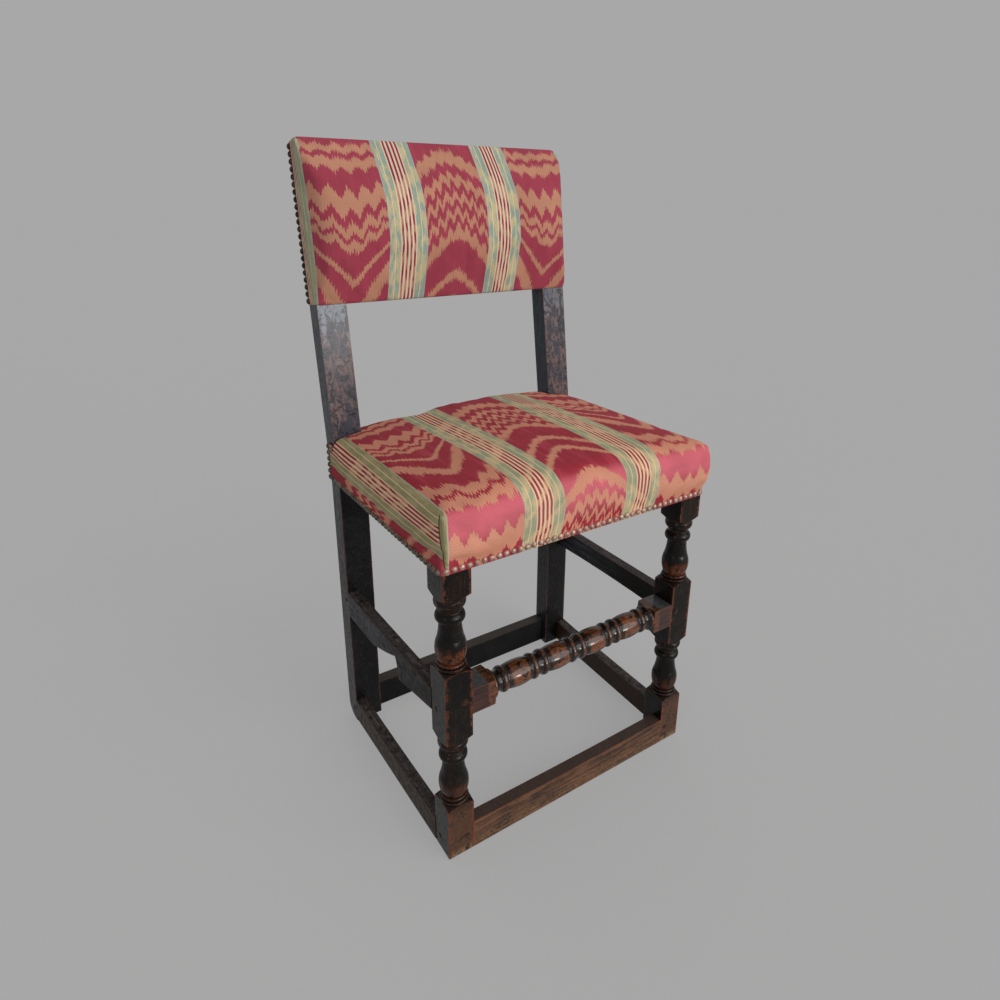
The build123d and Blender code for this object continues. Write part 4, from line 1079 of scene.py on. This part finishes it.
def web_height(number, at, crossings, over):
    """How far a web's middle lies above the crossing level, at a place along it."""
    level = WEB_THICK / 2 * over
    for count, crossing in enumerate(crossings):
        side = 1 if (number + count) % 2 else -1
        swell = float(smoothstep(WEB_WIDTH * 0.95, WEB_WIDTH * 0.35, abs(at - crossing)))
        level += (side * WEAVE / 2 - level) * swell
    return level


def make_web(name, number, middle, start, end, crossings, lengthways):
    """One strap, woven over and under those that cross it."""
    rows = []
    stops = even(start, end, 6.0)
    across = even(-WEB_WIDTH / 2, WEB_WIDTH / 2, 8.0)
    curl = [0.25 * (2 * offset / WEB_WIDTH) ** 2 for offset in across]
    for at in stops:
        level = RAIL_TOP + web_height(number, at, crossings, 1 if lengthways else -1)
        if lengthways:
            rows.append([(middle + offset, at, level + bow) for offset, bow in zip(across, curl)])
        else:
            rows.append([(at, middle - offset, level + bow) for offset, bow in zip(across, curl)])
    strap = sheet_mesh(name, rows, place, lambda i, j: (across[i], stops[j]))
    thicken(strap, 0.9 * WEB_THICK)
    return strap


def web_places():
    """The middles of the long webs, along x, and of the cross webs, along y."""
    middle = (LEG_SIDE + FRAME_DEPTH) / 2
    return (spread(LONG_WEBS, 2 * (POST_INNER - WEB_MARGIN)),
            [middle + y for y in spread(CROSS_WEBS, FRAME_DEPTH - LEG_SIDE)])


def make_webs():
    longs, crosses = web_places()
    straps = []
    ends = (WEB_END, FRAME_BACK - WEB_END)
    for number, x in enumerate(longs):
        straps.append(make_web(f"long_web_{number}", number, x, *ends, crosses, True))
    for number, y in enumerate(crosses):
        half = FRONT_HALF + side_spread(y - WEB_WIDTH / 2) - WEB_END
        straps.append(make_web(f"cross_web_{number}", number + 1, y, -half, half, longs, False))
    material = webbing()
    for strap in straps:
        strap.data.materials.append(material)
        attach(strap, "root")
    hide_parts("seat_webs_long")
    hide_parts("seat_webs_cross")


def webbing():
    """Jute webbing with a dark line near either edge, and a twill of thick threads."""
    graph = Graph("jute_webbing")
    across, along = graph.cloth()
    side = abs(across)
    line = abs(side - 18.0) < 1.1
    hairy = graph.noise(graph.vector(across, along), 0.6, 4.0, 0.7)
    colour = hairy.step(0.3, 0.7).mix(linear((172, 142, 100)), linear((116, 90, 60)))
    colour = (line * 0.8).mix(colour, linear((64, 46, 36)))
    twill = ((side + along) * (2 * math.pi / 2.4)).math("SINE")
    weft = (along * (2 * math.pi / 1.7)).math("SINE")
    height = twill + weft + hairy * 2.0
    return graph.shaded(Base_Color=colour, Normal=graph.bump(height, 0.0004, 0.9), Roughness=0.92,
                        Specular_IOR_Level=0.15)


def clear_of(webs, at):
    """0 on a web, and 1 well away from all of them."""
    return float(smoothstep(20, 34, min(abs(at - web) for web in webs)))


def make_base_cloth(material):
    """The linen on the seat's webs, pressed a little way down between them."""
    level = RAIL_TOP + 3.1
    inner = POST_INNER - BASE_GAP
    notch = post_front(level) - BASE_GAP
    longs, crosses = web_places()
    shares = [x / inner for x in columns(-FRONT_HALF, -inner, 0, inner, FRONT_HALF)]
    deep = columns(0, notch, FRAME_BACK)
    rows = []
    for y in deep:
        row = []
        for share in shares:
            beyond = max(abs(share) - 1, 0) * inner / (FRONT_HALF - inner)
            out = min(abs(share), 1) * inner + beyond * (FRONT_HALF + side_spread(y) - inner)
            x = math.copysign(out, share)
            inside = float(smoothstep(2, 20, min(y - 22, FRAME_BACK - 24 - y, FRONT_HALF - 22 - out)))
            drop = 2.0 * clear_of(longs, x) * clear_of(crosses, y) * inside
            behind_post = y > notch + 0.5 and abs(share) > 1.001
            row.append(None if behind_post else (x, y, level - drop))
        rows.append(row)
    cloth = sheet_mesh("seat_base", rows, place, lambda i, j: (shares[i] * inner, deep[j]))
    cloth.data.materials.append(material)
    thicken(cloth, 0.8)
    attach(cloth, "root")
    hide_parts("seat_base_cloth")
    wide, long = 2 * BACK_HALF, FRAME_BACK
    cut = (FRONT_HALF + BACK_HALF) * long - 2 * (BACK_HALF - inner) * (FRAME_BACK - notch)
    cut * MM * MM


def make_outer_back(material):
    """The cloth nailed over the back of the uprights, drawn in a little between its nails."""
    across = even(-BACK_HALF, BACK_HALF, 5.1)
    up = even(PANEL_START, PANEL_END, 5.1)
    behind = -BACK_LEG_DEPTH - 1.3
    rows = []
    for height in up:
        row = []
        for x in across:
            edge = min(BACK_HALF - abs(x), height - PANEL_START, PANEL_END - height)
            soft = 0.5 * math.sin(x / 38.0) * math.cos(height / 47.0)
            pucker = 0.35 * math.sin(2 * math.pi * x / 30.6) * math.exp(-edge / 22.0)
            row.append((x, height, behind - (0.7 + soft + pucker) * float(smoothstep(0, 26, edge))))
        rows.append(row)
    cloth = sheet_mesh("outer_back", rows, leaned, lambda i, j: (-across[i], up[j] - PANEL_START + 36))
    cloth.data.materials.append(material)
    thicken(cloth, 1.4)
    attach(cloth, "root")
    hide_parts("back_outer_cover")


def upholster(thing, material, slot, *nodes):
    thicken(thing, CLOTH, -1)
    fine = thing.modifiers.new("fine", "SUBSURF")
    fine.levels = fine.render_levels = 1
    thing.data.materials.append(material)
    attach(thing, "root")
    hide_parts(*nodes)


make_camera()
make_lights()
make_floor()
bpy.context.scene.view_settings.view_transform = "Standard"

dress_frame()
seat, seat_corner = make_seat_cover()
back = make_back_cover()
settle(seat, seat_held, 2.0, 0.012)
settle(back, back_held, 2.0, 0.012)
make_webs()
make_base_cloth(linen("seat_linen", (186, 170, 140), (150, 132, 102), 1.0))
seat_flame = FlameCloth("seat_flame", SEAT_COLOURS, 162.0, 0.0, 12.0, SEAT_SLIP, seat_corner)
back_flame = FlameCloth("back_flame", BACK_COLOURS, 166.0, 158.0, 140.0, BACK_SLIP)
upholster(seat, seat_flame.material, "flame_cloth", "seat_cover", "seat_stuffing")
upholster(back, back_flame.material, "back_cloth", "back_cover", "back_stuffing")
make_outer_back(back_flame.material)
